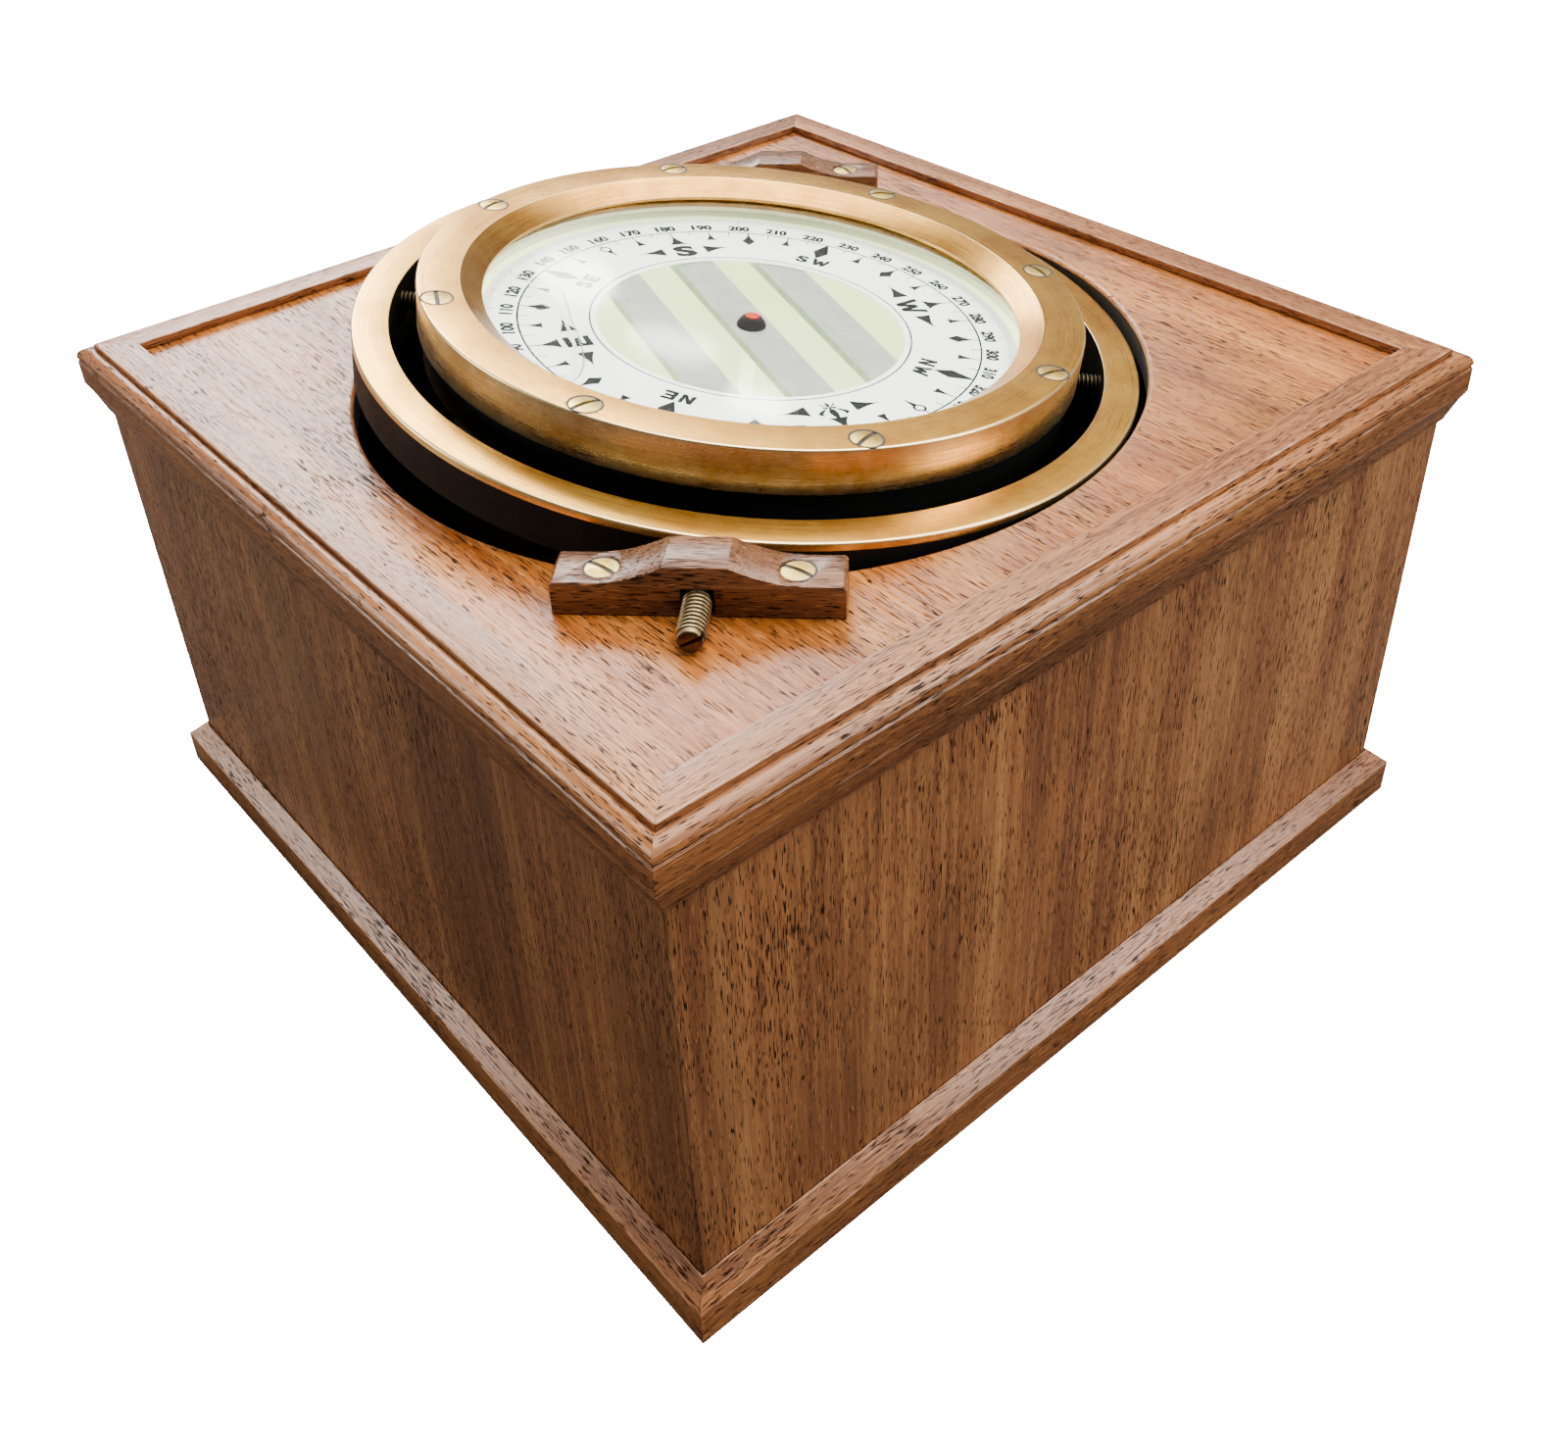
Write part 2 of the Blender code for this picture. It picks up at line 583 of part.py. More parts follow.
def build_bezel(bowl, frame):
    chamfer = 0.7 * MM
    lip = GLASS_TOP + GAP
    outline = [(SIGHT_RADIUS + BEZEL_SLOPE, BEZEL_TOP), (BEZEL_RADIUS - chamfer, BEZEL_TOP),
               (BEZEL_RADIUS, BEZEL_TOP - chamfer), (BEZEL_RADIUS, BEZEL_BOTTOM), (RECESS, BEZEL_BOTTOM),
               (RECESS, lip), (SIGHT_RADIUS, lip), (SIGHT_RADIUS, lip + LIP_THICK)]
    bezel = place("bezel", turned("bezel", outline), lacquered_brass(), frame)

    outline = countersunk(BEZEL_SCREW_HEAD, BEZEL_SCREW_SHANK, BEZEL_SCREW_LENGTH, SCREW_CROWN)
    screw = slotted("bezel_screw", outline, SCREW_SLOT, SCREW_SLOT, SCREW_CROWN)
    sunk = countersink("bezel_screw_hole", BEZEL_SCREW_HEAD, BEZEL_SCREW_SHANK, BEZEL_SCREW_LENGTH + GAP,
                       4 * MM)
    for number in range(BEZEL_SCREWS):
        angle = 2 * math.pi * (number + 0.5) / BEZEL_SCREWS
        spot = Vector((BOLT_CIRCLE * math.cos(angle), BOLT_CIRCLE * math.sin(angle), BEZEL_TOP))
        here = Matrix.Translation(spot) @ Matrix.Rotation(angle + math.radians(29), 4, "Z")
        place("bezel_screw_%d" % (number + 1), screw, lacquered_brass(), frame, here)
        tool = cutter("bezel_screw_hole_%d" % (number + 1), sunk, frame, here)
        cut(bezel, tool)
        cut(bowl, tool)

    glass = [(0, GLASS_TOP), (GLASS_RADIUS, GLASS_TOP), (GLASS_RADIUS, GLASS_BOTTOM), (0, GLASS_BOTTOM)]
    place("glass", turned("glass", glass), clear_glass(), frame)
    gasket = [(BOWL_INNER + GAP, GASKET_BOTTOM + GASKET_THICK), (GLASS_RADIUS, GASKET_BOTTOM + GASKET_THICK),
              (GLASS_RADIUS, GASKET_BOTTOM), (BOWL_INNER + GAP, GASKET_BOTTOM)]
    place("glass_gasket", turned("glass_gasket", gasket), black_rubber(), frame)


# ---------------------------------------------------------------- card
def build_card(frame):
    card = [(CARD_WINDOW, CARD_LIFT + CARD_THICK), (CARD_RADIUS, CARD_LIFT + CARD_THICK),
            (CARD_RADIUS, CARD_LIFT), (CARD_WINDOW, CARD_LIFT)]
    place("card", turned("card", card), white_card(), frame)

    for label, row in (("east", -1), ("middle", 0), ("west", 1)):
        offset = row * MAGNET_PITCH
        reach = math.sqrt(CARD_WINDOW ** 2 - offset ** 2) + MAGNET_LAP
        low = (-reach, offset - MAGNET_WIDTH / 2, MAGNET_BOTTOM)
        high = (reach, offset + MAGNET_WIDTH / 2, MAGNET_TOP)
        magnet = place("magnet_bar_" + label, box("magnet_bar", low, high), grey_steel(), frame)
        if row == 0:
            hole = rod("cap_hole", CAP_BORE + GAP, MAGNET_BOTTOM - 2 * MM, MAGNET_TOP + 2 * MM)
            cut(magnet, cutter("cap_hole", hole, frame))

    top = CARD_LIFT + CAP_HEIGHT
    roof = top - 0.9 * MM
    cap = [(0, top), (CAP_TOP_RADIUS, top), (CAP_RADIUS, CARD_LIFT + 0.6 * MM), (CAP_RADIUS, CARD_LIFT),
           (CAP_BORE, CARD_LIFT), (CAP_BORE, roof), (0, roof)]
    place("card_cap", turned("card_cap", cap, 24), black_paint(), frame)
    place("cap_jewel", rod("cap_jewel", CAP_BORE - GAP, roof - GAP - JEWEL_THICK + 0.2 * MM, roof - GAP),
          red_jewel(), frame)
    place("cap_dot", rod("cap_dot", DOT_RADIUS, top + GAP, top + GAP + DOT_THICK, 24), red_paint(), frame)


def main():
    clear_scene()
    gimbal_frame = empty("gimbal_frame", (0, 0, PIVOT_HEIGHT), (0, 0, GIMBAL_TURN))
    ring_frame = empty("ring_frame", turn=(RING_TILT, 0, 0), parent=gimbal_frame)
    bowl_frame = empty("bowl_frame", turn=(0, BOWL_TILT, 0), parent=ring_frame)
    card_frame = empty("card_frame", turn=(0, 0, CARD_TURN), parent=bowl_frame)

    panel = build_case()
    build_blocks(panel, gimbal_frame)
    build_ring(ring_frame)
    bowl = build_bowl(bowl_frame)
    build_bezel(bowl, bowl_frame)
    build_card(card_frame)


main()
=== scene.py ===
"""Looks of the boxed ship compass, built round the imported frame, in metres."""
import json
import math

import bmesh
import bpy
from mathutils import Matrix, Vector


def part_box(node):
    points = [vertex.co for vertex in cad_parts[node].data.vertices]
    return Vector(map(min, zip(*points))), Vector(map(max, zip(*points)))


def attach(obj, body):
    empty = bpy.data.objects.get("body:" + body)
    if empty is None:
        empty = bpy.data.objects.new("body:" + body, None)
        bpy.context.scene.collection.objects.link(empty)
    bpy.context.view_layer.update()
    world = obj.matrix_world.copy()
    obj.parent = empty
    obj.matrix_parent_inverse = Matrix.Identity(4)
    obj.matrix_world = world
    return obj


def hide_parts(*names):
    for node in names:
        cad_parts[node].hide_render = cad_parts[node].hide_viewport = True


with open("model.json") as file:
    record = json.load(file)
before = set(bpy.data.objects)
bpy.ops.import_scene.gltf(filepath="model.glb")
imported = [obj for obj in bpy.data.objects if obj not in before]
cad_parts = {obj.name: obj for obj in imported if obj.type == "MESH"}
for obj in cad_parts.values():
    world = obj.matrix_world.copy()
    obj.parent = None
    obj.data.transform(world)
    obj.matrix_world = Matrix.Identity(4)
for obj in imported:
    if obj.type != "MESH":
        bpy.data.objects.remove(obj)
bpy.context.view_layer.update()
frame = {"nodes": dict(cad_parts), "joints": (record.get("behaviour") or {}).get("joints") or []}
NODES = frame["nodes"]
JOINTS = {joint["name"]: joint for joint in frame["joints"]}
MM = 0.001

# ---------------------------------------------------------------- places, from the frame
LOW, HIGH = {}, {}
for corner_node in ("right_side", "top_panel", "cornice_right", "base_moulding_right"):
    LOW[corner_node], HIGH[corner_node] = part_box(corner_node)
HALF = HIGH["right_side"].x
WALL = HIGH["right_side"].x - LOW["right_side"].x
WALL_TOP = HIGH["right_side"].z
PANEL_TOP = HIGH["top_panel"].z
PANEL_BOTTOM = LOW["top_panel"].z
CASE_TOP = HIGH["cornice_right"].z
CORNICE_FOOT = LOW["cornice_right"].z
CORNICE_OUT = HIGH["cornice_right"].x
RIM_IN = LOW["cornice_right"].x
BASE_TOP = HIGH["base_moulding_right"].z
BASE_OUT = HIGH["base_moulding_right"].x
PIVOT = Vector(JOINTS["ring_tilt"]["pos_m"])
OUTER_AXIS = Vector(JOINTS["ring_tilt"]["axis"])
INNER_AXIS = Vector(JOINTS["bowl_tilt"]["axis"])
BOWL_UP = Vector(JOINTS["card_turn"]["axis"])
CARD_TURN = 28.5                        # north on the card, in degrees from the outer gimbal axis


def axes(across, along, up, origin=PIVOT):
    """A frame from its three axes, as a matrix."""
    made = Matrix((across, along, up)).transposed().to_4x4()
    made.translation = origin
    return made


def turn_by(degrees, axis="Z"):
    """A turn about one axis."""
    return Matrix.Rotation(math.radians(degrees), 4, axis)


LEVEL = axes(OUTER_AXIS, Vector((0, 0, 1)).cross(OUTER_AXIS), Vector((0, 0, 1)))
RING = axes(OUTER_AXIS, INNER_AXIS, OUTER_AXIS.cross(INNER_AXIS))
BOWL = axes(INNER_AXIS.cross(BOWL_UP), INNER_AXIS, BOWL_UP)
CARD = BOWL @ turn_by(CARD_TURN)


def measure(node, place):
    """Least and greatest reach from a frame's upright axis, and the heights, of a CAD node."""
    inverse = place.inverted()
    points = [inverse @ vertex.co for vertex in NODES[node].data.vertices]
    reaches = [math.hypot(point.x, point.y) for point in points]
    heights = [point.z for point in points]
    return min(reaches), max(reaches), min(heights), max(heights)


RING_IN, RING_OUT, RING_LOW, RING_TOP = measure("gimbal_ring", RING)
SIGHT, BEZEL_OUT, BEZEL_LOW, BEZEL_TOP = measure("bezel", BOWL)
_, GLASS_OUT, GLASS_LOW, GLASS_TOP = measure("glass", BOWL)
CARD_IN, CARD_OUT, CARD_LOW, CARD_TOP = measure("card", CARD)
_, FLANGE_OUT, BOWL_LOW, _ = measure("bowl", BOWL)
_, CAP_OUT, CAP_LOW, CAP_TOP = measure("card_cap", CARD)
_, DOT_OUT, DOT_LOW, DOT_TOP = measure("cap_dot", CARD)
_, STUD_OUT, _, _ = measure("pivot_stud_front", LEVEL)
STUD_IN, _, _, STUD_RADIUS = measure("pivot_stud_front", RING)
PIN_IN, PIN_OUT, _, PIN_RADIUS = measure("bowl_pivot_left", RING)
HOLE_RADIUS = 123.4 * MM                # round hole in the panel, as in the CAD part


# ---------------------------------------------------------------- small tools
def feed(tree, node, links):
    """Links or sets each of a node's inputs."""
    for socket, value in links.items():
        if isinstance(value, bpy.types.NodeSocket):
            tree.links.new(value, node.inputs[socket])
        else:
            node.inputs[socket].default_value = value


def add(tree, kind, links=None, **settings):
    """A node with its settings, its sockets linked or set."""
    made = tree.nodes.new(kind)
    for name, value in settings.items():
        setattr(made, name, value)
    feed(tree, made, links or {})
    return made


def hue(code, alpha=1.0):
    """An sRGB hex colour as linear light."""
    parts = [int(code[i:i + 2], 16) / 255 for i in (1, 3, 5)]
    linear = [c / 12.92 if c <= 0.04045 else ((c + 0.055) / 1.055) ** 2.4 for c in parts]
    return (*linear, alpha)


def ramp(tree, factor, stops):
    """A colour ramp from (place, colour) stops."""
    made = add(tree, "ShaderNodeValToRGB", {"Fac": factor})
    elements = made.color_ramp.elements
    while len(elements) < len(stops):
        elements.new(0.5)
    for element, (spot, colour) in zip(elements, stops):
        element.position = spot
        element.color = colour
    return made.outputs["Color"]


def levels(tree, factor, *stops):
    """A ramp of plain greys from (place, brightness) stops."""
    return ramp(tree, factor, [(spot, (value, value, value, 1)) for spot, value in stops])


def blank(name):
    """A new material, its tree, its surface shader and the place on the object."""
    made = bpy.data.materials.new(name)
    made.use_nodes = True
    where = add(made.node_tree, "ShaderNodeTexCoord").outputs["Object"]
    return made, made.node_tree, made.node_tree.nodes["Principled BSDF"], where


def placed(name, data):
    """A new object in the scene."""
    made = bpy.data.objects.new(name, data)
    bpy.context.scene.collection.objects.link(made)
    return made


def show(name, mesh, body, material=None, replaces=(), materials=()):
    """Puts a finished mesh in the scene, riding on its CAD body."""
    piece = placed(name, mesh)
    if material:
        mesh.materials.clear()
    for finish in ([material] if material else materials):
        mesh.materials.append(finish)
    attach(piece, body)
    if replaces:
        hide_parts(*replaces)
    return piece


def flat_mesh(form, name):
    """A form as a mesh, flat-shaded."""
    mesh = bpy.data.meshes.new(name)
    form.to_mesh(mesh)
    form.free()
    return mesh


def smoothed(mesh, sharp):
    """A mesh shaded smooth, its edges keen above an angle in degrees."""
    mesh.shade_smooth()
    mesh.set_sharp_from_angle(angle=math.radians(sharp))
    return mesh


def to_mesh(form, name, sharp=35):
    return smoothed(flat_mesh(form, name), sharp)


def polar(reach, angle):
    """Across and along, of a reach at an angle."""
    return reach * math.cos(angle), reach * math.sin(angle)


def angles(facets):
    """Evenly spaced angles round a circle."""
    return [2 * math.pi * step / facets for step in range(facets)]


def marked_form():
    """A form whose vertices carry two marks: paler, for wear and a painted highlight, and darker, for grit
    and painted shade.
    """
    form = bmesh.new()
    form.verts.layers.float.new("wear_and_highlight")
    form.verts.layers.float.new("grime_and_shade")
    return form


def marked(form, spot, mark):
    """A vertex, marked paler (wear and a painted highlight) where its mark is above 0 and darker (grit and
    painted shade) where it is below.
    """
    vertex = form.verts.new(spot)
    layers = form.verts.layers.float
    vertex[layers["wear_and_highlight"]], vertex[layers["grime_and_shade"]] = max(mark, 0), max(-mark, 0)
    return vertex


def skin(form, rings, closed=False):
    """Faces between neighbouring rings of vertices, as a list for each row."""
    rows, count = [], len(rings)
    for index in range(count if closed else count - 1):
        here, there = rings[index], rings[(index + 1) % count]
        row = []
        for step in range(len(here)):
            after = (step + 1) % len(here)
            corners = list(dict.fromkeys([here[step], here[after], there[after], there[step]]))
            if len(corners) > 2:
                row.append(form.faces.new(corners))
        rows.append(row)
    return rows


def face_out(form):
    """Turns every face of a closed form outward."""
    bmesh.ops.recalc_face_normals(form, faces=form.faces)


def bar(form, rings):
    """A solid bar through rings of vertices, and the faces of its sides row by row."""
    rows = skin(form, rings)
    form.faces.new(rings[0])
    form.faces.new(rings[-1])
    face_out(form)
    return rows


def rounded(corners, steps=4):
    """An outline of (x, y, radius in mm) corners, each turned into an arc: (x, y, turn) points.

    turn is 1 in the middle of an outward corner's arc, -1 in an inward one's and 0 elsewhere.
    """
    count, points = len(corners), []
    loop = corners[1:] + corners[:1]
    area = sum(one[0] * two[1] - two[0] * one[1] for one, two in zip(corners, loop))
    for index, (x, y, radius) in enumerate(corners):
        here = Vector((x, y))
        before = Vector(corners[index - 1][:2]) - here
        after = Vector(corners[(index + 1) % count][:2]) - here
        if radius <= 0:
            points.append((x, y, 0.0))
            continue
        bend = before.angle(after)
        reach = min(radius * MM / math.tan(bend / 2), before.length * 0.49, after.length * 0.49)
        start = here + before.normalized() * reach
        end = here + after.normalized() * reach
        outward = (before.x * after.y - before.y * after.x) * area < 0
        for step in range(steps + 1):
            part = step / steps
            spot = start * (1 - part) ** 2 + here * 2 * part * (1 - part) + end * part ** 2
            mark = math.sin(math.pi * part) * (1 if outward else -1)
            points.append((spot.x, spot.y, mark))
    return points


def lathe(name, outline, place, facets=192, material_rows=None):
    """A closed (reach, height, turn) outline turned about a frame's upright axis."""
    form = marked_form()
    rings = []
    for reach, height, *rest in outline:
        on_axis = reach < 1e-7
        ring = [marked(form, place @ Vector((*polar(reach, angle), height)), rest[0] if rest else 0.0)
                for angle in (angles(facets)[:1] if on_axis else angles(facets))]
        rings.append(ring * facets if on_axis else ring)
    for index, row in enumerate(skin(form, rings, True)):
        for face in row:
            face.material_index = material_rows[index] if material_rows else 0
    face_out(form)
    return to_mesh(form, name)


# ---------------------------------------------------------------- materials
GRAIN_X = (0, 0, 0)
GRAIN_Y = (0, 0, math.radians(-90))
GRAIN_Z = (0, math.radians(90), 0)
GRAIN_BLOCK = (0, 0, math.radians(-45))


def mixed(tree, factor, first, second, how="MIX"):
    """Colour going from first to second as factor goes from 0 to 1."""
    made = add(tree, "ShaderNodeMix", {0: factor, 6: first, 7: second}, data_type="RGBA", blend_type=how)
    return made.outputs[2]


def times(tree, first, second):
    """Two colours multiplied."""
    return mixed(tree, 1.0, first, second, "MULTIPLY")


def maths(tree, how, *values):
    return add(tree, "ShaderNodeMath", dict(enumerate(values)), operation=how).outputs["Value"]


def scaled(tree, value, by, plus):
    """value * by + plus"""
    return maths(tree, "MULTIPLY_ADD", value, by, plus)


def vectors(tree, how, first, second):
    return add(tree, "ShaderNodeVectorMath", {0: first, 1: second}, operation=how).outputs


def combined(tree, **parts):
    """A vector from its X, Y and Z."""
    return add(tree, "ShaderNodeCombineXYZ", parts).outputs["Vector"]


def attribute(tree, name):
    return add(tree, "ShaderNodeAttribute", attribute_name=name).outputs["Fac"]


def noise(tree, vector, size, detail=2.0, rough=0.5, distortion=0.0):
    """Noise whose cells are about size metres across."""
    made = add(tree, "ShaderNodeTexNoise", {"Vector": vector, "Scale": 1 / size, "Detail": detail,
                                           "Roughness": rough, "Distortion": distortion})
    return made.outputs["Fac"]


def stretched(tree, vector, along, across, detail=2.0, distortion=0.0, rough=0.5):
    """Noise drawn out along the grain; both sizes are in metres."""
    finer = (1 / along, 1 / across, 1 / across)
    drawn_out = add(tree, "ShaderNodeMapping", {"Vector": vector, "Scale": finer})
    return noise(tree, drawn_out.outputs["Vector"], 1.0, detail, rough, distortion)


def bumped(tree, height, strength, distance):
    """A bump's normals."""
    made = add(tree, "ShaderNodeBump", {"Height": height, "Strength": strength, "Distance": distance})
    return made.outputs["Normal"]


def mahogany(name, turn, base, dark, light, shift=(0, 0, 0), gloss=0.28, pores=0.60, ridges=0.45,
             fleck="#c98d52"):
    """Satin-varnished mahogany, planed: open pores stay as short dark dashes along the grain."""
    material, tree, shader, where = blank(name)
    grain = add(tree, "ShaderNodeMapping", {"Vector": where, "Rotation": turn, "Location": shift})
    grain = grain.outputs["Vector"]
    bands = stretched(tree, grain, 320 * MM, 16 * MM, 3, 0.6)
    streaks = stretched(tree, grain, 90 * MM, 1.9 * MM, 4, 0.2, 0.6)
    fibres = stretched(tree, grain, 16 * MM, 0.4 * MM, 2)
    dashes = stretched(tree, grain, 4.6 * MM, 0.40 * MM, 1)
    flecks = stretched(tree, grain, 7 * MM, 0.5 * MM, 1)
    clouds = stretched(tree, grain, 130 * MM, 34 * MM, 3)
    patchy = noise(tree, where, 45 * MM, 1)

    banded = ramp(tree, bands, [(0.32, hue(dark)), (0.5, hue(base)), (0.68, hue(light))])
    streaked = ramp(tree, streaks, [(0.36, hue(dark)), (0.5, hue(base)), (0.66, hue(light))])
    tone = mixed(tree, 0.45, banded, streaked)
    tone = times(tree, tone, levels(tree, fibres, (0.35, 0.84), (0.65, 1.12)))
    tone = times(tree, tone, levels(tree, clouds, (0.34, 0.66), (0.66, 1.18)))
    tone = mixed(tree, levels(tree, flecks, (0.66, 0), (0.72, 0.6)), tone, hue(fleck))
    # pores crowd together in some patches and thin out in others
    crowded = scaled(tree, patchy, 0.22, dashes)
    pore = levels(tree, crowded, (pores + 0.11, 0), (pores + 0.15, 0.95))
    tone = mixed(tree, pore, tone, hue("#1a0d05"))
    # arrises are paler in patches, partly wear and partly a painted highlight; quirks are darker, partly old
    # polish and partly painted shade
    patches = levels(tree, stretched(tree, grain, 12 * MM, 12 * MM, 3), (0.42, 0.15), (0.6, 0.9))
    highlight_and_wear = maths(tree, "MULTIPLY", attribute(tree, "wear_and_highlight"), patches)
    tone = mixed(tree, highlight_and_wear, tone, hue("#c99c7c"))
    tone = mixed(tree, attribute(tree, "grime_and_shade"), tone, hue("#2b1408"))

    broken = scaled(tree, streaks, 0.16, gloss - 0.08)
    relief = scaled(tree, fibres, 0.35, streaks)
    relief = scaled(tree, pore, -0.9, relief)
    feed(tree, shader, {"Base Color": tone, "Roughness": scaled(tree, pore, 0.35, broken),
                        "Normal": bumped(tree, relief, ridges, 0.25 * MM),
                        "Specular IOR Level": scaled(tree, pore, -0.5, 0.54),
                        "Specular Tint": hue("#ffe4d4"), "Coat Weight": 0.08, "Coat Roughness": 0.14})
    return material


def turned_brass(name, place, base, dark, lit_flank, slope, rough=0.29, pitch=0.3):
    """Lathe-turned brass under thinning lacquer: fine rings round the axis catch the light as a satin bloom.

    The top is handled and keeps the browner base tone; as painted light, the upright outer face is painted
    paler and yellower and the inner slope painted darker, for how the light falls on them.
    """
    material, tree, shader, where = blank(name)
    back = place.inverted()
    local = add(tree, "ShaderNodeMapping", {"Vector": where, "Rotation": back.to_euler(),
                                           "Location": back.translation})
    split = add(tree, "ShaderNodeSeparateXYZ", {"Vector": local.outputs["Vector"]})
    east, north, height = split.outputs["X"], split.outputs["Y"], split.outputs["Z"]
    reach = maths(tree, "SQRT", maths(tree, "ADD", maths(tree, "MULTIPLY", east, east),
                                      maths(tree, "MULTIPLY", north, north)))
    arc = maths(tree, "MULTIPLY", maths(tree, "ARCTAN2", north, east), 1.6 * MM)
    # real tool marks are 0.05 mm apart; they are drawn coarser so that they show
    tooled = noise(tree, combined(tree, X=reach, Z=height), pitch * MM, 3, 0.7)
    brushed = noise(tree, combined(tree, X=reach, Y=arc, Z=height), 0.55 * MM, 3, 0.65)
    stains = noise(tree, where, 30 * MM, 6, 0.7)
    spots = noise(tree, where, 1.6 * MM, 2)
    offset = vectors(tree, "SUBTRACT", where, place.translation)[0]
    level = vectors(tree, "MULTIPLY", offset, (1, 1, 0))[0]
    turned = vectors(tree, "DOT_PRODUCT", level, where.node.outputs["Normal"])["Value"]
    outward = maths(tree, "DIVIDE", turned, reach)
    # painted light: faces turned outward are painted paler and yellower, faces turned inward darker
    facing_tone = ramp(tree, scaled(tree, outward, 0.5, 0.5),
                 [(0.15, hue(slope)), (0.42, hue(base)), (0.6, hue(base)), (0.9, hue(lit_flank))])
    dulled = times(tree, facing_tone, hue(dark))
    tone = mixed(tree, levels(tree, stains, (0.38, 1), (0.62, 0)), facing_tone, dulled)
    tone = times(tree, tone, levels(tree, brushed, (0.25, 0.80), (0.75, 1.10)))
    tone = mixed(tree, levels(tree, spots, (0.72, 0), (0.78, 0.55)), tone, hue("#5f3d18"))
    # rounded edges paler: wear and a painted highlight
    tone = mixed(tree, attribute(tree, "wear_and_highlight"), tone, hue("#ffe2a6"))
    relief = scaled(tree, brushed, 1.5, tooled)
    feed(tree, shader, {"Base Color": tone, "Metallic": 1.0,
                        "Roughness": levels(tree, brushed, (0.3, rough + 0.07), (0.7, rough - 0.05)),
                        "Normal": bumped(tree, relief, 0.4, 0.02 * MM)})
    return material


def dulled_brass(name, base, dark, rough=0.42):
    """Brass left to dull, brown-green in patches: paler and yellower on crests and edges, with wear and a
    painted highlight, and darker in the hollows, with grit and painted shade.
    """
    material, tree, shader, where = blank(name)
    stains = noise(tree, where, 4 * MM, 4, 0.7)
    tone = ramp(tree, stains, [(0.35, hue(dark)), (0.65, hue(base))])
    tone = mixed(tree, attribute(tree, "wear_and_highlight"), tone, hue("#d8c090"))
    tone = mixed(tree, attribute(tree, "grime_and_shade"), tone, hue("#241b0e"))
    feed(tree, shader, {"Base Color": tone, "Metallic": 1.0,
                        "Roughness": levels(tree, stains, (0.3, rough + 0.12), (0.7, rough - 0.05)),
                        "Normal": bumped(tree, stains, 0.3, 0.06 * MM)})
    return material


def coated(name, base, other, rough, size, relief=0.03, shine=0.5):
    """A painted, moulded or printed surface with a slight mottle of a given size in millimetres.

    Surfaces under the liquid shine hardly at all, since the liquid lies against them.
    """
    material, tree, shader, where = blank(name)
    mottle = noise(tree, where, size * MM, 4, 0.6)
    feed(tree, shader, {"Base Color": ramp(tree, mottle, [(0.35, hue(other)), (0.65, hue(base))]),
                        "Roughness": levels(tree, mottle, (0.3, rough + 0.06), (0.7, rough - 0.04)),
                        "Normal": bumped(tree, mottle, 0.25, relief * MM), "Specular IOR Level": shine})
    return material


def clear_glass(name):
    """Plate glass over clear liquid: only its shine and a faint film show, and the light goes through."""
    material, tree, shader, where = blank(name)
    haze = noise(tree, where, 33 * MM, 3)
    facing = add(tree, "ShaderNodeLayerWeight", {"Blend": 0.5}).outputs["Facing"]
    shine = scaled(tree, maths(tree, "POWER", facing, 5.0), 0.9, 0.035)
    film = scaled(tree, haze, 0.01, shine)
    behind = add(tree, "ShaderNodeNewGeometry").outputs["Backfacing"]
    front = maths(tree, "SUBTRACT", 1.0, behind)
    feed(tree, shader, {"Alpha": maths(tree, "MULTIPLY", film, front), "Base Color": (1, 1, 1, 1),
                        "Metallic": 1.0, "Roughness": 0.06})
    return material


SIDE_TONES = {"base": "#8e5a36", "dark": "#6c412a", "light": "#b07c4c"}
TOP_TONES = {"base": "#96551f", "dark": "#763c14", "light": "#b67434"}
MOULDING_TONES = {"base": "#87512b", "dark": "#613619", "light": "#ad723e"}
SIDE_WOOD = mahogany("mahogany_side_boards", GRAIN_Z, **SIDE_TONES, pores=0.62)
PANEL_WOOD = mahogany("mahogany_top_panel", GRAIN_X, **TOP_TONES, gloss=0.24, pores=0.63, ridges=1.7)
MOULDING_X = mahogany("mahogany_mouldings_across", GRAIN_X, **MOULDING_TONES, shift=(0.3, 0.1, 0),
                      pores=0.62, ridges=1.2)
MOULDING_Y = mahogany("mahogany_mouldings_along", GRAIN_Y, **MOULDING_TONES, shift=(0.1, 0.4, 0),
                      pores=0.62, ridges=1.2)
BLOCK_WOOD = mahogany("mahogany_bearing_blocks", GRAIN_BLOCK, "#5f3a22", "#412511", "#7f5232",
                      (0.2, 0, 0.1))
PINE = mahogany("pine_bottom_board", GRAIN_X, "#b98f62", "#9c7348", "#d3ae82", pores=0.9, gloss=0.6)
# the last two colours are painted light: the upright outer face paler and yellower, the inner slope darker
BEZEL_BRASS = turned_brass("turned_brass_bezel", BOWL, "#dca546", "#dccbb4", "#fbe6b8", "#c8964c")
RING_BRASS = turned_brass("turned_brass_gimbal_ring", RING, "#dfa948", "#dccbb4", "#f2d890", "#c8964c")
SCREW_BRASS = dulled_brass("yellow_brass_screws", "#e2c060", "#a5853a", 0.33)
STUD_BRASS = dulled_brass("tarnished_brass_studs", "#75603f", "#3d2f1b", 0.4)
BLACK_ENAMEL = coated("black_stoved_enamel", "#080808", "#040404", 0.6, 9, shine=0.15)
BOWL_WHITE = coated("greenish_white_enamel", "#e3e8cf", "#cfd6b4", 0.5, 30)


def glowing(material, colour, strength):
    """Makes a surface under the liquid glow: a painted glow that stands in for the light scattered round it.
    """
    tree = material.node_tree
    feed(tree, tree.nodes["Principled BSDF"], {"Emission Color": hue(colour), "Emission Strength": strength})
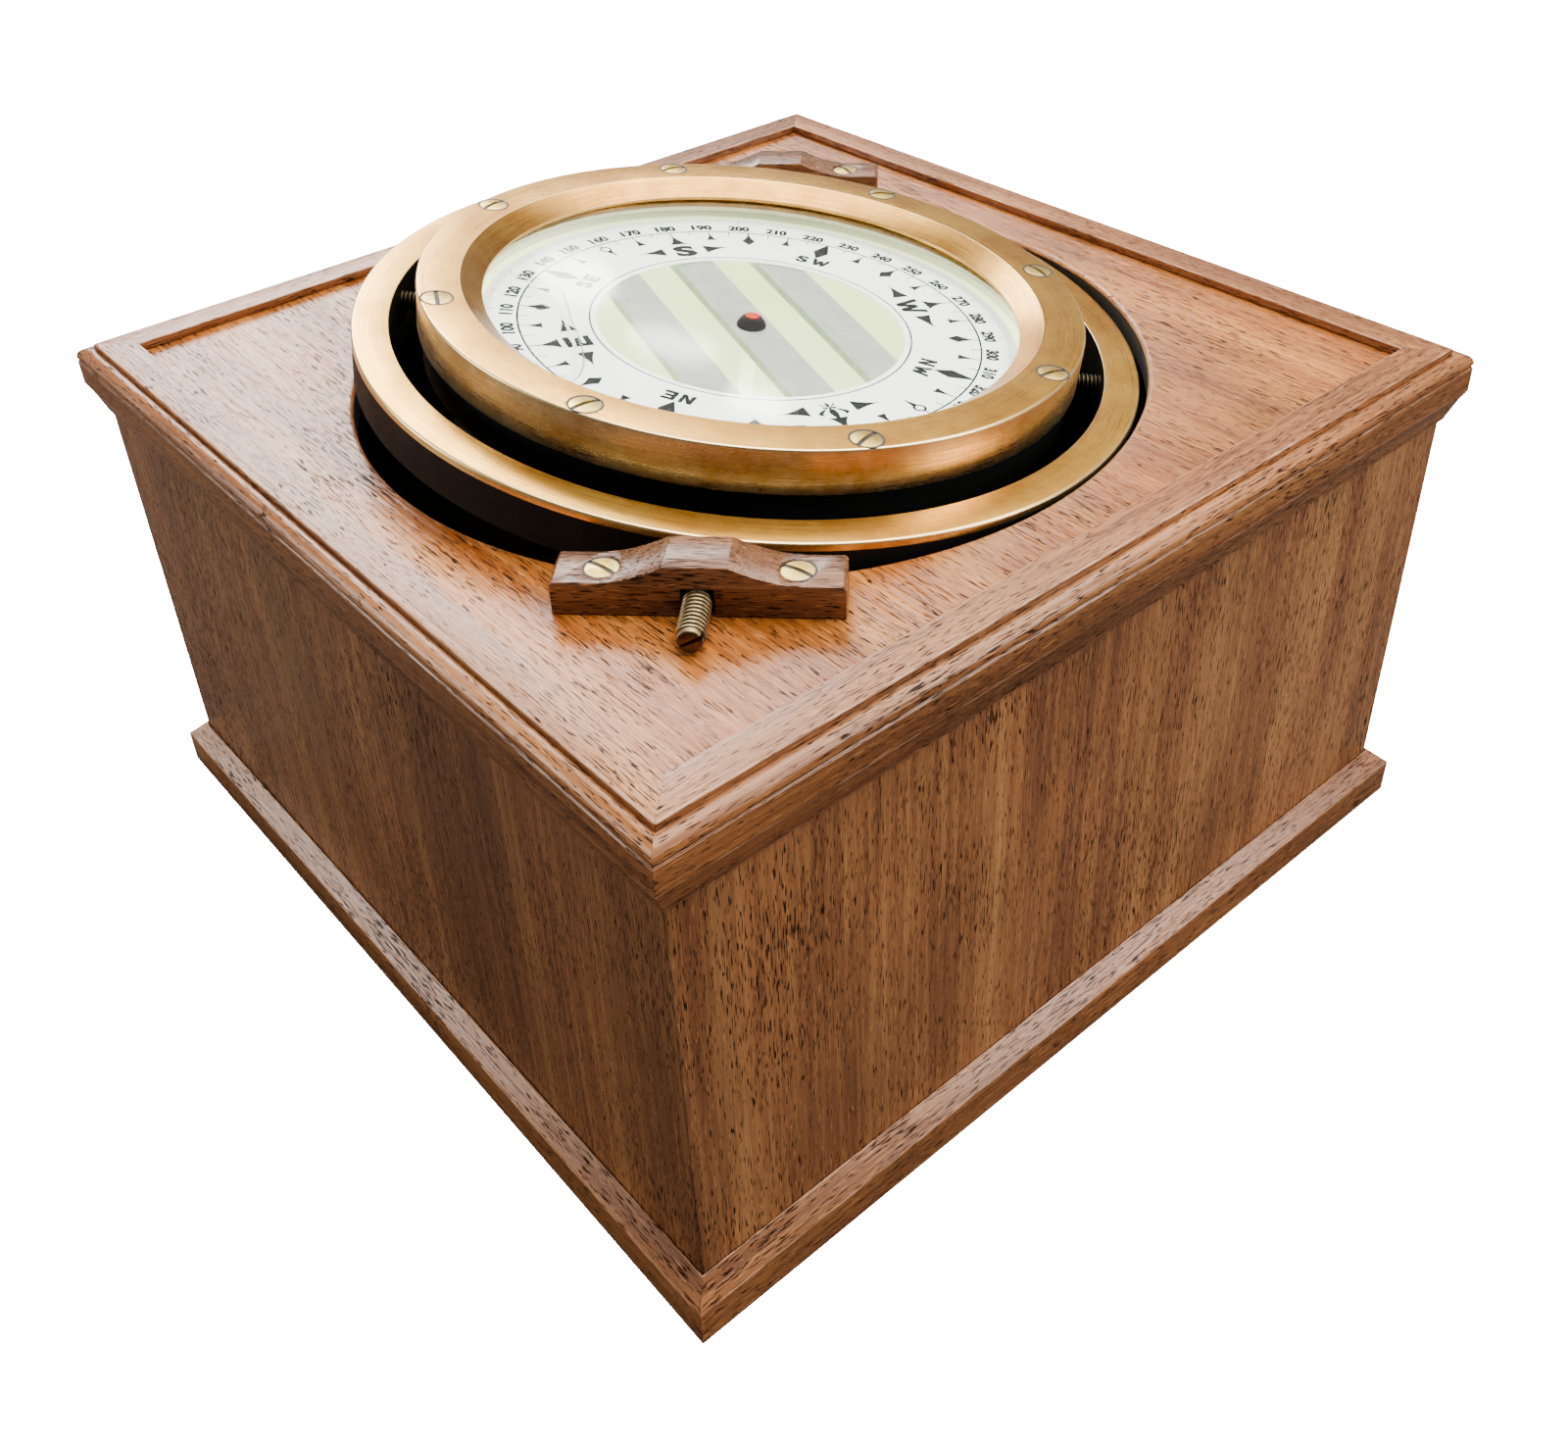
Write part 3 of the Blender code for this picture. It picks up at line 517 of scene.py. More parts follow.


# painted glow: the bowl's white glows more on the side away from the window, standing in for light scattered
# in the liquid
bowl_tree = BOWL_WHITE.node_tree
where = bowl_tree.nodes["Texture Coordinate"].outputs["Object"]
across = vectors(bowl_tree, "DOT_PRODUCT", where, (7.0, -6.0, 0))["Value"]
glow_strength = add(bowl_tree, "ShaderNodeMapRange", {"Value": across, "From Min": -0.95, "From Max": -0.2,
                                                "To Min": 0.45, "To Max": 2.6})
glowing(BOWL_WHITE, "#d6e2b2", glow_strength.outputs[0])
DIAL_WHITE = coated("white_lacquered_dial", "#eef1ec", "#e4e8e2", 0.45, 14, shine=0.08)
# painted glow on the dial, standing in for light scattered in the liquid
glowing(DIAL_WHITE, "#e4f0dc", 1.7)
DIAL_INK = coated("slate_green_dial_ink", "#080c0b", "#0e1412", 0.6, 3, shine=0.08)
SCALE_INK = coated("grey_scale_ink", "#0e1412", "#171e1b", 0.6, 2, shine=0.08)
MAGNET_GREY = coated("grey_painted_magnet_steel", "#b0b5a8", "#9fa497", 0.5, 5, shine=0.08)
CAP_BLACK = coated("black_moulded_cap", "#100f0d", "#0a0a09", 0.5, 2, shine=0.08)
DOT_RED = coated("orange_red_enamel_dot", "#d8350c", "#b82a08", 0.5, 1.5, shine=0.08)
RUBBER = coated("black_rubber_washer", "#1b1b1b", "#121212", 0.75, 1.5)
PALE_RUBBER = coated("pale_grey_rubber_gasket", "#cfd3c4", "#bcc1b0", 0.7, 3)
RUBY = coated("ruby_bearing_jewel", "#8c1226", "#6e0d1d", 0.12, 1)
BRONZE = dulled_brass("bronze_diaphragm_sheet", "#a8703f", "#7c4e2a", 0.35)
GLASS = clear_glass("clear_plate_glass")
CASE_INSIDE = coated("near_black_case_inside", "#0a0806", "#060504", 0.8, 12)
STOPPING = coated("dark_stopping_in_brad_holes", "#4a3222", "#6d5746", 0.7, 0.6)


# ---------------------------------------------------------------- case
GAP = 0.05 * MM                         # hairline between neighbouring pieces
SIDES = (("right", 0.0), ("back", 90.0), ("left", 180.0), ("front", 270.0))


def timber(name, profile, turn, grain, replaces):
    """A moulding along one side: its (out, height, radius) profile mitred at both ends."""
    spin = turn_by(turn)
    form = marked_form()
    bar(form, [[marked(form, spin @ Vector((out, share * (out - GAP), height)), mark)
                for out, height, mark in rounded(profile)] for share in (-1, 1)])
    return show(name, to_mesh(form, name, 20), "case", grain, (replaces,))


def board(name, turn, grain, replaces):
    """An upright side: mitred at the corners, its outer arrises eased by hand."""
    ease = 1.1 * MM
    spin = turn_by(turn)
    inner, core = HALF - WALL, HALF - ease
    plan = [(inner, -inner + GAP, 0.0)]
    for step in range(3, -1, -1):
        out, along = polar(ease, math.radians(-45 * step / 3))
        plan.append((core + out, along - core + GAP, step / 3))
    plan += [(x, -y, mark) for x, y, mark in reversed(plan)]
    form = marked_form()
    rows = bar(form, [[marked(form, spin @ Vector((x, y, height)), mark * 0.25) for x, y, mark in plan]
                      for height in (LOW["right_side"].z, WALL_TOP)])
    rows[0][-1].material_index = 1         # the inner face is near black
    return show(name, to_mesh(form, name, 30), "case", None, (replaces,),
                (grain, CASE_INSIDE))


def base_profile():
    """A square plinth with a flat bevel on its upper corner."""
    bevel = BASE_OUT - HALF - 0.6 * MM
    inner = HALF + 0.3 * MM
    return [(inner, 0, 0), (BASE_OUT, 0, 0.5), (BASE_OUT, BASE_TOP - bevel, 0.8),
            (BASE_OUT - bevel, BASE_TOP, 0.8), (inner, BASE_TOP, 0)]


def cornice_profile():
    """Flat rim, quirk, bead, upright face, cove, then back up inside the angle."""
    inner, rim = RIM_IN, HALF - 0.4 * MM
    bead, quirk = 3.4 * MM, 1.8 * MM
    face, top = CORNICE_OUT, CASE_TOP
    middle, height = face - bead, top - quirk - bead
    profile = [(inner, top, 0.5), (rim, top, 0.6), (rim, top - quirk - 0.6 * MM, 0.5)]
    for step in range(9):
        out, rise = polar(bead, math.radians(112 - 14 * step))
        profile.append((middle + out, height + rise, 0))
    profile += [(face - 0.5 * MM, height - 0.7 * MM, 0.25), (face, height - 1.4 * MM, 0.4),
                (face, height - 9.3 * MM, 1.6)]
    foot, cove = CORNICE_FOOT, 7.4 * MM
    for step in range(7):
        angle = math.pi / 2 * step / 6
        profile.append((HALF + 0.9 * MM + (face - HALF - 2.4 * MM) * (1 - math.sin(angle)),
                        foot + cove * (1 - math.cos(math.pi / 2 - angle)) * 0.9 + 0.4 * MM, 0))
    profile += [(HALF + 0.9 * MM, foot, 0.3), (HALF + 0.3 * MM, foot, 0),
                (HALF + 0.3 * MM, PANEL_TOP + 0.3 * MM, 0), (inner, PANEL_TOP + 0.3 * MM, 0.3)]
    return profile


for side, turn in SIDES:
    moulding = MOULDING_Y if side in ("right", "left") else MOULDING_X
    board("board_" + side, turn, SIDE_WOOD, side + "_side")
    timber("plinth_" + side, base_profile(), turn, moulding, "base_moulding_" + side)
    timber("rim_" + side, cornice_profile(), turn, moulding, "cornice_" + side)

def slab(width, depth, height, place=Matrix.Identity(4)):
    """A box centred on a place."""
    form = bmesh.new()
    bmesh.ops.create_cube(form, size=1.0, matrix=place @ Matrix.Diagonal((width, depth, height, 1)))
    return flat_mesh(form, "slab")


glue = []                                 # old glue closes the corner mitres at the foot
near, far = (HALF - WALL) * math.sqrt(2), BASE_OUT * math.sqrt(2) - 0.9 * MM
for side, turn in SIDES:
    middle = Matrix.Translation(((near + far) / 2, 0, 0.25 * MM))
    place = turn_by(turn + 45) @ middle
    glue.append(slab(far - near, 0.8 * MM, 0.2 * MM, place))


def top_panel():
    """A square board with a round hole, its upper edge eased and its lower edge left square."""
    ease, edge, facets = 1.4 * MM, HIGH["top_panel"].x - GAP, 240
    rows = [(HOLE_RADIUS, PANEL_BOTTOM, 0.0, False)]
    for step in range(5):
        angle = math.pi / 2 * step / 4
        across, down = ease * (1 - math.cos(angle)), ease * (1 - math.sin(angle))
        rows.append((HOLE_RADIUS + across, PANEL_TOP - down, 0.35 * math.sin(angle * 2), False))
    rows += [(edge, PANEL_TOP, 0.0, True), (edge, PANEL_BOTTOM, 0.0, True)]
    form = marked_form()
    rings = []
    for reach, height, mark, square in rows:
        ring = []
        for angle in angles(facets):
            x, y = polar(1.0, angle)
            stretch = reach / max(abs(x), abs(y)) if square else reach
            ring.append(marked(form, (x * stretch, y * stretch, height), mark))
        rings.append(ring)
    made = skin(form, rings, True)
    for face in made[0] + made[-1]:
        face.material_index = 1            # the edge of the hole and the underside are black
    face_out(form)
    return show("panel", to_mesh(form, "panel", 40), "case", None, ("top_panel",),
                (PANEL_WOOD, CASE_INSIDE))


top_panel()


def dress(node, material):
    """Gives a CAD node its finish; its shape and place stay as they are."""
    mesh = NODES[node].data
    mesh.materials.clear()
    mesh.materials.append(material)


dress("bottom_board", PINE)
for number in range(1, 5):
    dress("corner_block_%d" % number, CASE_INSIDE)


def eased_copy(node, width, segments=2, sharp=25):
    """A CAD node's own shape as a new mesh, its edges eased; the eased edges take material 1."""
    form = bmesh.new()
    form.from_mesh(NODES[node].data)
    bmesh.ops.remove_doubles(form, verts=form.verts, dist=0.00002)
    bmesh.ops.dissolve_limit(form, angle_limit=math.radians(1), verts=form.verts, edges=form.edges)
    keen = [edge for edge in form.edges if edge.calc_face_angle(0) > math.radians(sharp)]
    bmesh.ops.bevel(form, geom=keen, offset=width, segments=segments, affect="EDGES", profile=0.5,
                    clamp_overlap=True, material=1)
    return to_mesh(form, node + "_eased", 30)


# the eased edges of the saddles are paler: wear and a painted highlight
ARRIS_WEAR_AND_HIGHLIGHT_WOOD = mahogany("mahogany_highlight_and_wear_arrises", GRAIN_BLOCK, "#b0825f", "#8a5b3a", "#cda07c", pores=0.7)
for label in ("front", "rear"):
    mesh = eased_copy("bearing_block_" + label, 0.55 * MM)
    mesh.materials.clear()
    show("saddle_" + label, mesh, "case", None, ("bearing_block_" + label,),
         (BLOCK_WOOD, ARRIS_WEAR_AND_HIGHLIGHT_WOOD))


BRADS = ((145.6, -97.3), (99.3, -146.9), (145.6, 96.4), (110.7, 146.9), (-99.0, -146.9), (-145.6, -96.5))
for number, (x, y) in enumerate(BRADS, 1):
    spot = Matrix.Translation((x * MM, y * MM, CASE_TOP - 0.06 * MM))
    outline = [(0, 0), (1.25 * MM, 0), (1.25 * MM, 0.05 * MM), (0, 0.05 * MM)]
    show("brad_stopping_%d" % number, lathe("brad", outline, spot, 24), "case", STOPPING)


# ---------------------------------------------------------------- repeated pieces
COPY_INPUTS = (("Piece", "Object"), ("Count", "Int"), ("Radius", "Float"), ("Start", "Float"),
               ("Spin", "Float"), ("Seed", "Int"), ("Finish", "Material"))


def ring_tree():
    """Copies of one piece set round a circle, each turned to face outward and then by a random angle."""
    tree = bpy.data.node_groups.new("copies_round_a_circle", "GeometryNodeTree")
    wires = tree.interface
    wires.new_socket("Geometry", in_out="INPUT", socket_type="NodeSocketGeometry")
    for label, kind in COPY_INPUTS:
        wires.new_socket(label, in_out="INPUT", socket_type="NodeSocket" + kind)
    wires.new_socket("Geometry", in_out="OUTPUT", socket_type="NodeSocketGeometry")
    given = add(tree, "NodeGroupInput").outputs
    step = maths(tree, "DIVIDE", 2 * math.pi, given["Count"])
    index = add(tree, "GeometryNodeInputIndex").outputs[0]
    angle = scaled(tree, index, step, given["Start"])
    unit = combined(tree, X=maths(tree, "COSINE", angle), Y=maths(tree, "SINE", angle))
    spot = add(tree, "ShaderNodeVectorMath", {0: unit, "Scale": given["Radius"]}, operation="SCALE")
    points = add(tree, "GeometryNodePoints", {"Count": given["Count"], "Position": spot.outputs[0]})
    chance = add(tree, "FunctionNodeRandomValue", {"Seed": given["Seed"]}, data_type="FLOAT").outputs[1]
    spun = scaled(tree, chance, given["Spin"], angle)
    turn = combined(tree, Z=spun)
    piece = add(tree, "GeometryNodeObjectInfo", {"Object": given["Piece"]}).outputs["Geometry"]
    copied = add(tree, "GeometryNodeInstanceOnPoints", {"Points": points.outputs[0], "Instance": piece,
                                                       "Rotation": turn})
    real = add(tree, "GeometryNodeRealizeInstances", {"Geometry": copied.outputs[0]})
    finish = add(tree, "GeometryNodeSetMaterial", {"Geometry": real.outputs[0], "Material": given["Finish"]})
    add(tree, "NodeGroupOutput", {0: finish.outputs[0]})
    return tree


RING_TREE = ring_tree()


def evaluated(piece):
    """An object's mesh after its modifiers, as a new mesh."""
    bpy.context.view_layer.update()
    graph = bpy.context.evaluated_depsgraph_get()
    return bpy.data.meshes.new_from_object(piece.evaluated_get(graph), depsgraph=graph)


def copies(mesh, count, radius, place, finish, start=0.0, spin=0.0, seed=0):
    """Runs the tree above and returns the result as one plain mesh."""
    piece, holder = placed("one_copy", mesh), placed("holder", bpy.data.meshes.new("holder"))
    modifier = holder.modifiers.new("copies", "NODES")
    modifier.node_group = RING_TREE
    sockets = {item.name: item.identifier for item in RING_TREE.interface.items_tree
               if item.in_out == "INPUT"}
    for (label, _), value in zip(COPY_INPUTS, (piece, count, radius, start, spin, seed, finish)):
        modifier[sockets[label]] = value
    result = evaluated(holder)
    bpy.data.objects.remove(holder)
    bpy.data.objects.remove(piece)
    result.transform(place)
    return result


def carved(mesh, cutters, name):
    """Takes the cutter meshes out of a mesh."""
    block = placed(name, mesh)
    tools = [placed("cutter", cutter) for cutter in cutters]
    for tool in tools:
        modifier = block.modifiers.new("cut", "BOOLEAN")
        modifier.operation = "DIFFERENCE"
        modifier.solver = "EXACT"
        modifier.object = tool
    result = evaluated(block)
    for used in (block, *tools):
        bpy.data.objects.remove(used)
    result.name = name
    return smoothed(result, 30)


def joined(name, meshes, sharp=35):
    """Several meshes as one."""
    form = bmesh.new()
    for mesh in meshes:
        form.from_mesh(mesh)
    return to_mesh(form, name, sharp)


def screw_head(radius, crown):
    """A slotted countersunk head, its top a shallow dome level with the hole at its rim."""
    outline = [(0, -2.2 * MM), (radius * 0.5, -2.2 * MM), (radius, -0.25 * MM), (radius, -0.05 * MM)]
    for step in range(1, 7):
        part = step / 6
        outline.append((radius * (1 - part), crown * math.sin(math.pi / 2 * part) - 0.05 * MM,
                        0.5 if step == 1 else 0.0))
    head = lathe("screw_head", outline, Matrix.Identity(4), 48)
    slot = slab(radius * 2.4, 1.35 * MM, 2.2 * MM, Matrix.Translation((0, 0, crown - 0.1 * MM)))
    return carved(head, [slot], "screw_head")


def dark_seat(radius):
    """The dark ring round a screw head and the dark floor of its slot: grit and painted shade."""
    outline = [(radius, -0.3 * MM), (radius + 0.6 * MM, -0.3 * MM), (radius + 0.6 * MM, 0.06 * MM),
               (radius, 0.05 * MM)]
    slot_floor = slab(radius * 1.86, 1.28 * MM, 0.2 * MM, Matrix.Translation((0, 0, -0.2 * MM)))
    return joined("seat", [lathe("seat", outline, Matrix.Identity(4), 48), slot_floor])


# grit and painted shade round the screws; the dark glue in the mitres uses it too
SEAT_GRIT_AND_SHADE = coated("dark_wax_and_shade_round_screws", "#2c1e0e", "#171008", 0.6, 1)
show("mitre_glue", joined("mitre_glue", glue), "case", SEAT_GRIT_AND_SHADE)


# ---------------------------------------------------------------- gimbal ring
half_height = (RING_TOP - RING_LOW) / 2
band_low = half_height - 2.3 * MM         # bright upper band; the sides below it are near black
bright = rounded([(RING_IN, half_height, 0.35), (RING_OUT, half_height, 0.8),
                  (RING_OUT, band_low, 0), (RING_IN, half_height - 0.5 * MM, 0)])
rows = [0] * (len(bright) - 2) + [1] * 4
outline = bright[:-1] + [(RING_OUT, -half_height, 0.0), (RING_IN, -half_height, 0.0), bright[-1]]
hoop = lathe("gimbal_hoop", outline, RING, 256, rows)
show("gimbal_hoop", hoop, "gimbal_ring", None, ("gimbal_ring",),
     (RING_BRASS, BLACK_ENAMEL))


def threaded(name, place, start, end, radius, pitch, tip=0.0, highlight_and_wear=0.6):
    """A rod along a frame's first axis with a helical thread, and a plain slotted tip."""
    facets, rows_a_turn = 40, 10
    depth, length = pitch * 0.42, end - start - tip
    rows = int(length / pitch * rows_a_turn)
    form = marked_form()
    rings = []
    for row in range(rows + 1):
        along = start + length * row / rows
        ring = []
        for angle in angles(facets):
            phase = (along / pitch - angle / (2 * math.pi)) % 1.0
            rise = min(1.0, 1.35 * (1 - abs(2 * phase - 1)))
            # crests paler with wear and a painted highlight, roots darker with grit and painted shade
            mark = highlight_and_wear if rise > 0.95 else -max(0.0, 0.85 - 1.3 * rise)
            spot = Vector((along, *polar(radius - depth * (1 - rise), angle)))
            ring.append(marked(form, place @ spot, mark))
        rings.append(ring)
    bar(form, rings)
    body = to_mesh(form, name, 50)
    if not tip:
        return body
    across = place @ turn_by(90, "Y")
    foot = end - tip - 0.2 * MM
    plug = [(0, foot), (radius * 0.9, foot), (radius * 0.9, end - 0.5 * MM, 0.3), (radius * 0.78, end, -0.4),
            (0, end, -0.8)]
    head = lathe("tip", plug, across, 40)
    middle = place @ Matrix.Translation((end - 0.6 * MM, 0, 0)) @ turn_by(35, "X")
    slot = slab(1.6 * MM, radius * 2.4, 1.1 * MM, middle)
    return joined(name, [body, carved(head, [slot], "tip")], 50)


for label, turn in (("front", 0), ("rear", 180)):
    toward = RING @ turn_by(turn)
    mesh = threaded("pivot_screw", toward, STUD_IN, STUD_OUT, STUD_RADIUS, 1.55 * MM, tip=1.8 * MM)
    show("pivot_screw_" + label, mesh, "gimbal_ring", STUD_BRASS, ("pivot_stud_" + label,))
DARK_STEEL = dulled_brass("blackened_brass_bowl_pivots", "#2b2721", "#16130f", 0.45)
for label, turn in (("left", -90), ("right", 90)):
    toward = RING @ turn_by(turn)
    mesh = threaded("bowl_screw", toward, PIN_IN, PIN_OUT, PIN_RADIUS, 1.3 * MM, highlight_and_wear=0.08)
    show("bowl_screw_" + label, mesh, "gimbal_ring", DARK_STEEL, ("bowl_pivot_" + label,))


# ---------------------------------------------------------------- bowl
BOWL_IN, FLANGE = 87.5 * MM, 6 * MM
outer_wall, floor_reach = 91.5 * MM, 40 * MM
straight, depth_in, depth_out = 26 * MM, 57 * MM, -BOWL_LOW


def bowl_bend(reach, depth, steps=16):
    points = []
    for step in range(steps + 1):
        angle = math.pi / 2 * step / steps
        points.append((floor_reach + (reach - floor_reach) * math.cos(angle),
                       -straight - (depth - straight) * math.sin(angle)))
    return points


inside = bowl_bend(BOWL_IN, depth_in)[::-1]
outline = [(BOWL_IN, FLANGE), (FLANGE_OUT, FLANGE), (FLANGE_OUT, -FLANGE + 2 * MM),
           (FLANGE_OUT - 2 * MM, -FLANGE), (outer_wall, -FLANGE)]
outline += bowl_bend(outer_wall, depth_out) + [(0, -depth_out), (0, -depth_in)] + inside
rows = [1] + [0] * (len(outline) - len(inside) - 2) + [1] * (len(inside) + 1)
shell = lathe("bowl_shell", outline, BOWL, 192, rows)
show("bowl_shell", shell, "bowl", None, ("bowl",), (BLACK_ENAMEL, BOWL_WHITE))
dress("ballast_weight", BLACK_ENAMEL)
dress("expansion_diaphragm", BRONZE)
dress("pivot_post", BOWL_WHITE)
dress("lubber_wire", BLACK_ENAMEL)
dress("filler_plug", SCREW_BRASS)
dress("filler_washer", RUBBER)
dress("glass_gasket", PALE_RUBBER)
dress("glass", GLASS)

# bezel: flat top, sloping inner face, an upright outer face
lip, recess = GLASS_TOP + 0.3 * MM, GLASS_OUT + 0.3 * MM
slope = SIGHT + 6.5 * MM
profile = [(slope, BEZEL_TOP, 0.35), (BEZEL_OUT, BEZEL_TOP, 0.75), (BEZEL_OUT, BEZEL_LOW, 0.5),
           (recess, BEZEL_LOW, 0), (recess, lip, 0), (SIGHT, lip, 0), (SIGHT, lip + 0.9 * MM, 0.25)]
hoop = lathe("bezel_hoop", rounded(profile), BOWL, 256)
SCREWS, SCREW_CIRCLE, HEAD = 8, 97 * MM, 4.4 * MM
ANY_TURN = 6.0                          # slots lie any way round, in radians
sunk = lathe("sunk", [(0, -2.6 * MM), (HEAD * 0.55, -2.6 * MM), (HEAD + 0.3 * MM, -0.15 * MM),
                      (HEAD + 0.3 * MM, 1 * MM), (0, 1 * MM)], Matrix.Identity(4), 48)
face = BOWL @ Matrix.Translation((0, 0, BEZEL_TOP))
eighth = 2 * math.pi / SCREWS
holes = copies(sunk, SCREWS, SCREW_CIRCLE, face, BEZEL_BRASS, eighth / 2)
hoop = carved(hoop, [holes], "bezel_hoop")
hoop.materials.clear()
show("bezel_hoop", hoop, "bowl", BEZEL_BRASS, ("bezel",))
heads = copies(screw_head(HEAD, 0.45 * MM), SCREWS, SCREW_CIRCLE, face, SCREW_BRASS, eighth / 2, ANY_TURN, 3)
show("bezel_screw_heads", heads, "bowl", SCREW_BRASS, ["bezel_screw_%d" % (n + 1) for n in range(SCREWS)])
# painted shade and grit round the bezel screws
seats = copies(dark_seat(HEAD), SCREWS, SCREW_CIRCLE, face, SEAT_GRIT_AND_SHADE, eighth / 2, ANY_TURN, 3)
show("bezel_screw_dirt", seats, "bowl", SEAT_GRIT_AND_SHADE)

# the two screws of each saddle, on its lower ends
block_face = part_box("bearing_block_screw_1")[1].z - 0.4 * MM
head_radius = 4.3 * MM
reach, offset = 132.5 * MM, 24.3 * MM
circle = math.hypot(reach, offset)
lean = math.atan2(offset, reach)
level_face = LEVEL @ Matrix.Translation((0, 0, block_face - PIVOT.z))
pairs, gritty_shaded_seats = [], []
for sign in (-1, 1):
    for kept, made, finish in ((pairs, screw_head(head_radius, 0.4 * MM), SCREW_BRASS),
                               (gritty_shaded_seats, dark_seat(head_radius), SEAT_GRIT_AND_SHADE)):
        kept.append(copies(made, 2, circle, level_face, finish, sign * lean, ANY_TURN, 5 + sign))
# painted shade and grit round the saddle screws
show("saddle_screw_dirt", joined("saddle_screw_dirt", gritty_shaded_seats), "case", SEAT_GRIT_AND_SHADE)
show("saddle_screw_heads", joined("saddle_screw_heads", pairs), "case", SCREW_BRASS,
     ["bearing_block_screw_%d" % number for number in range(1, 5)])


# ---------------------------------------------------------------- card
profile = [(CARD_IN, CARD_TOP, 0.15), (CARD_OUT, CARD_TOP, 0.15), (CARD_OUT, CARD_LOW, 0.1),
           (CARD_IN, CARD_LOW, 0.1)]
plate = lathe("dial_plate", rounded(profile), CARD, 256)
show("dial_plate", plate, "card", DIAL_WHITE, ("card",))
INK_HEIGHT = CARD_TOP + 0.03 * MM
# reaches on the card in millimetres: its two circles, the letters, the numbers and the ticks' outer ends
POINTS_OUT, LETTERS_IN, LETTERS, NUMBERS, TICKS_OUT = 72.3, 50.3, 56.7, 75.7, 82.7


def flat_shapes(shapes):
    """Flat polygons of (x, y) points in the card's own plane, north along x."""
    form = bmesh.new()
    for points in shapes:
        form.faces.new([form.verts.new(CARD @ Vector((x, y, INK_HEIGHT))) for x, y in points])
    bmesh.ops.triangulate(form, faces=form.faces)
    for face in form.faces:
        if face.normal.dot(BOWL_UP) < 0:
            face.normal_flip()
    return flat_mesh(form, "shapes")


def at_bearing(points, bearing):
    """Points of (reach, sideways) turned to a bearing in degrees clockwise from north."""
    angle = -math.radians(bearing)
    across, along = polar(1.0, angle)
    return [((r * across - t * along) * MM, (r * along + t * across) * MM) for r, t in points]


def band(reach, width, facets=360):
    """A thin printed circle."""
    form = bmesh.new()
    rings = []
    for radius in ((reach + width / 2) * MM, (reach - width / 2) * MM):
        rings.append([form.verts.new(CARD @ Vector((*polar(radius, angle), INK_HEIGHT)))
                      for angle in angles(facets)])
    skin(form, rings)
    return flat_mesh(form, "band")


def printed(text, bearing, reach, height, width, bold):
    """Letters of a size in millimetres on the card, their tops outward, at a bearing."""
    curve = bpy.data.curves.new("letters", "FONT")
    curve.body = text
    curve.align_x = "CENTER"
    curve.offset = bold
    curve.resolution_u = 4
    holder = placed("letters", curve)
    mesh = evaluated(holder)
    bpy.data.objects.remove(holder)
    xs = [vertex.co.x for vertex in mesh.vertices]
    ys = [vertex.co.y for vertex in mesh.vertices]
    size = (width * MM / (max(xs) - min(xs)), height * MM / (max(ys) - min(ys)), 1, 1)
    centre = Matrix.Translation((-(max(xs) + min(xs)) / 2, -(max(ys) + min(ys)) / 2, 0))
    angle = -math.radians(bearing)
    spot = Matrix.Translation((*polar(reach * MM, angle), INK_HEIGHT))
    upright = Matrix.Rotation(angle - math.pi / 2, 4, "Z")
    mesh.transform(CARD @ spot @ upright @ Matrix.Diagonal(size) @ centre)
    return mesh


def mirrored(points):
    """A shape from one side of its centre line."""
    return points + [(r, -t) for r, t in reversed(points)]


def hollow(points, other, steps=6, sag=0.22):
    """Points along a side that bows inward between two corners."""
    (r0, t0), (r1, t1) = points, other
    return [(r0 + (r1 - r0) * step / steps,
             (t0 + (t1 - t0) * step / steps) * (1 - sag * math.sin(math.pi * step / steps)))
            for step in range(steps + 1)]


INK = []


def ink_at(bearing, points):
    INK.append(at_bearing(points, bearing))


for bearing in range(0, 360, 90):                 # cardinal marks and the spikes beside the letters
    ink_at(bearing, mirrored(hollow((62.4, 3.1), (67.9, 0.3)) + [(POINTS_OUT, 0.18)]))
    for side in (-1, 1):
        start, tip, half = 7.3, 16.6, 2.9
        upper, lower = [[(57 + sign * half * (1 - step / 6) ** 1.7, side * (start + (tip - start) * step / 6))
                         for step in range(7)] for sign in (1, -1)]
        ink_at(bearing, upper + lower[-2::-1])
for bearing in range(45, 360, 90):
    ink_at(bearing, [(59.5, 0), (65.0, 2.6), (POINTS_OUT, 0.2), (POINTS_OUT, -0.2), (65.0, -2.6)])
RINGED, HEART = (157.5, 337.5), 68.2              # two half points have a pale round heart
for step in range(8):
    bearing = 22.5 + 45 * step
    if bearing in RINGED:
        rim, inner = [[(HEART + out, off) for out, off in
                       [polar(radius, math.radians(180 - 12 * k)) for k in range(16)]]
                      for radius in (2.1, 1.35)]
        for sign in (1, -1):
            ink_at(bearing, [(61.6, 0)] + [(r, t * sign) for r, t in rim[2:] + inner[::-1]])
        ink_at(bearing, [(70.2, 0.3), (POINTS_OUT, 0.14), (POINTS_OUT, -0.14), (70.2, -0.3)])
    else:
        waist = hollow((65.9, 1.9), (69.8, 0.28), 4)
        ink_at(bearing, mirrored([(61.9, 0), (65.2, 2.25)] + waist + [(POINTS_OUT, 0.18)]))
for step in range(16):
    quarter_point = hollow((65.1, 1.75), (69.2, 0.25), 5) + [(POINTS_OUT, 0.16)]
    ink_at(11.25 + 22.5 * step, mirrored(quarter_point))
for step in range(32):
    ink_at(5.625 + 11.25 * step, [(69.0, 0.17), (POINTS_OUT, 0.17), (POINTS_OUT, -0.17), (69.0, -0.17)])


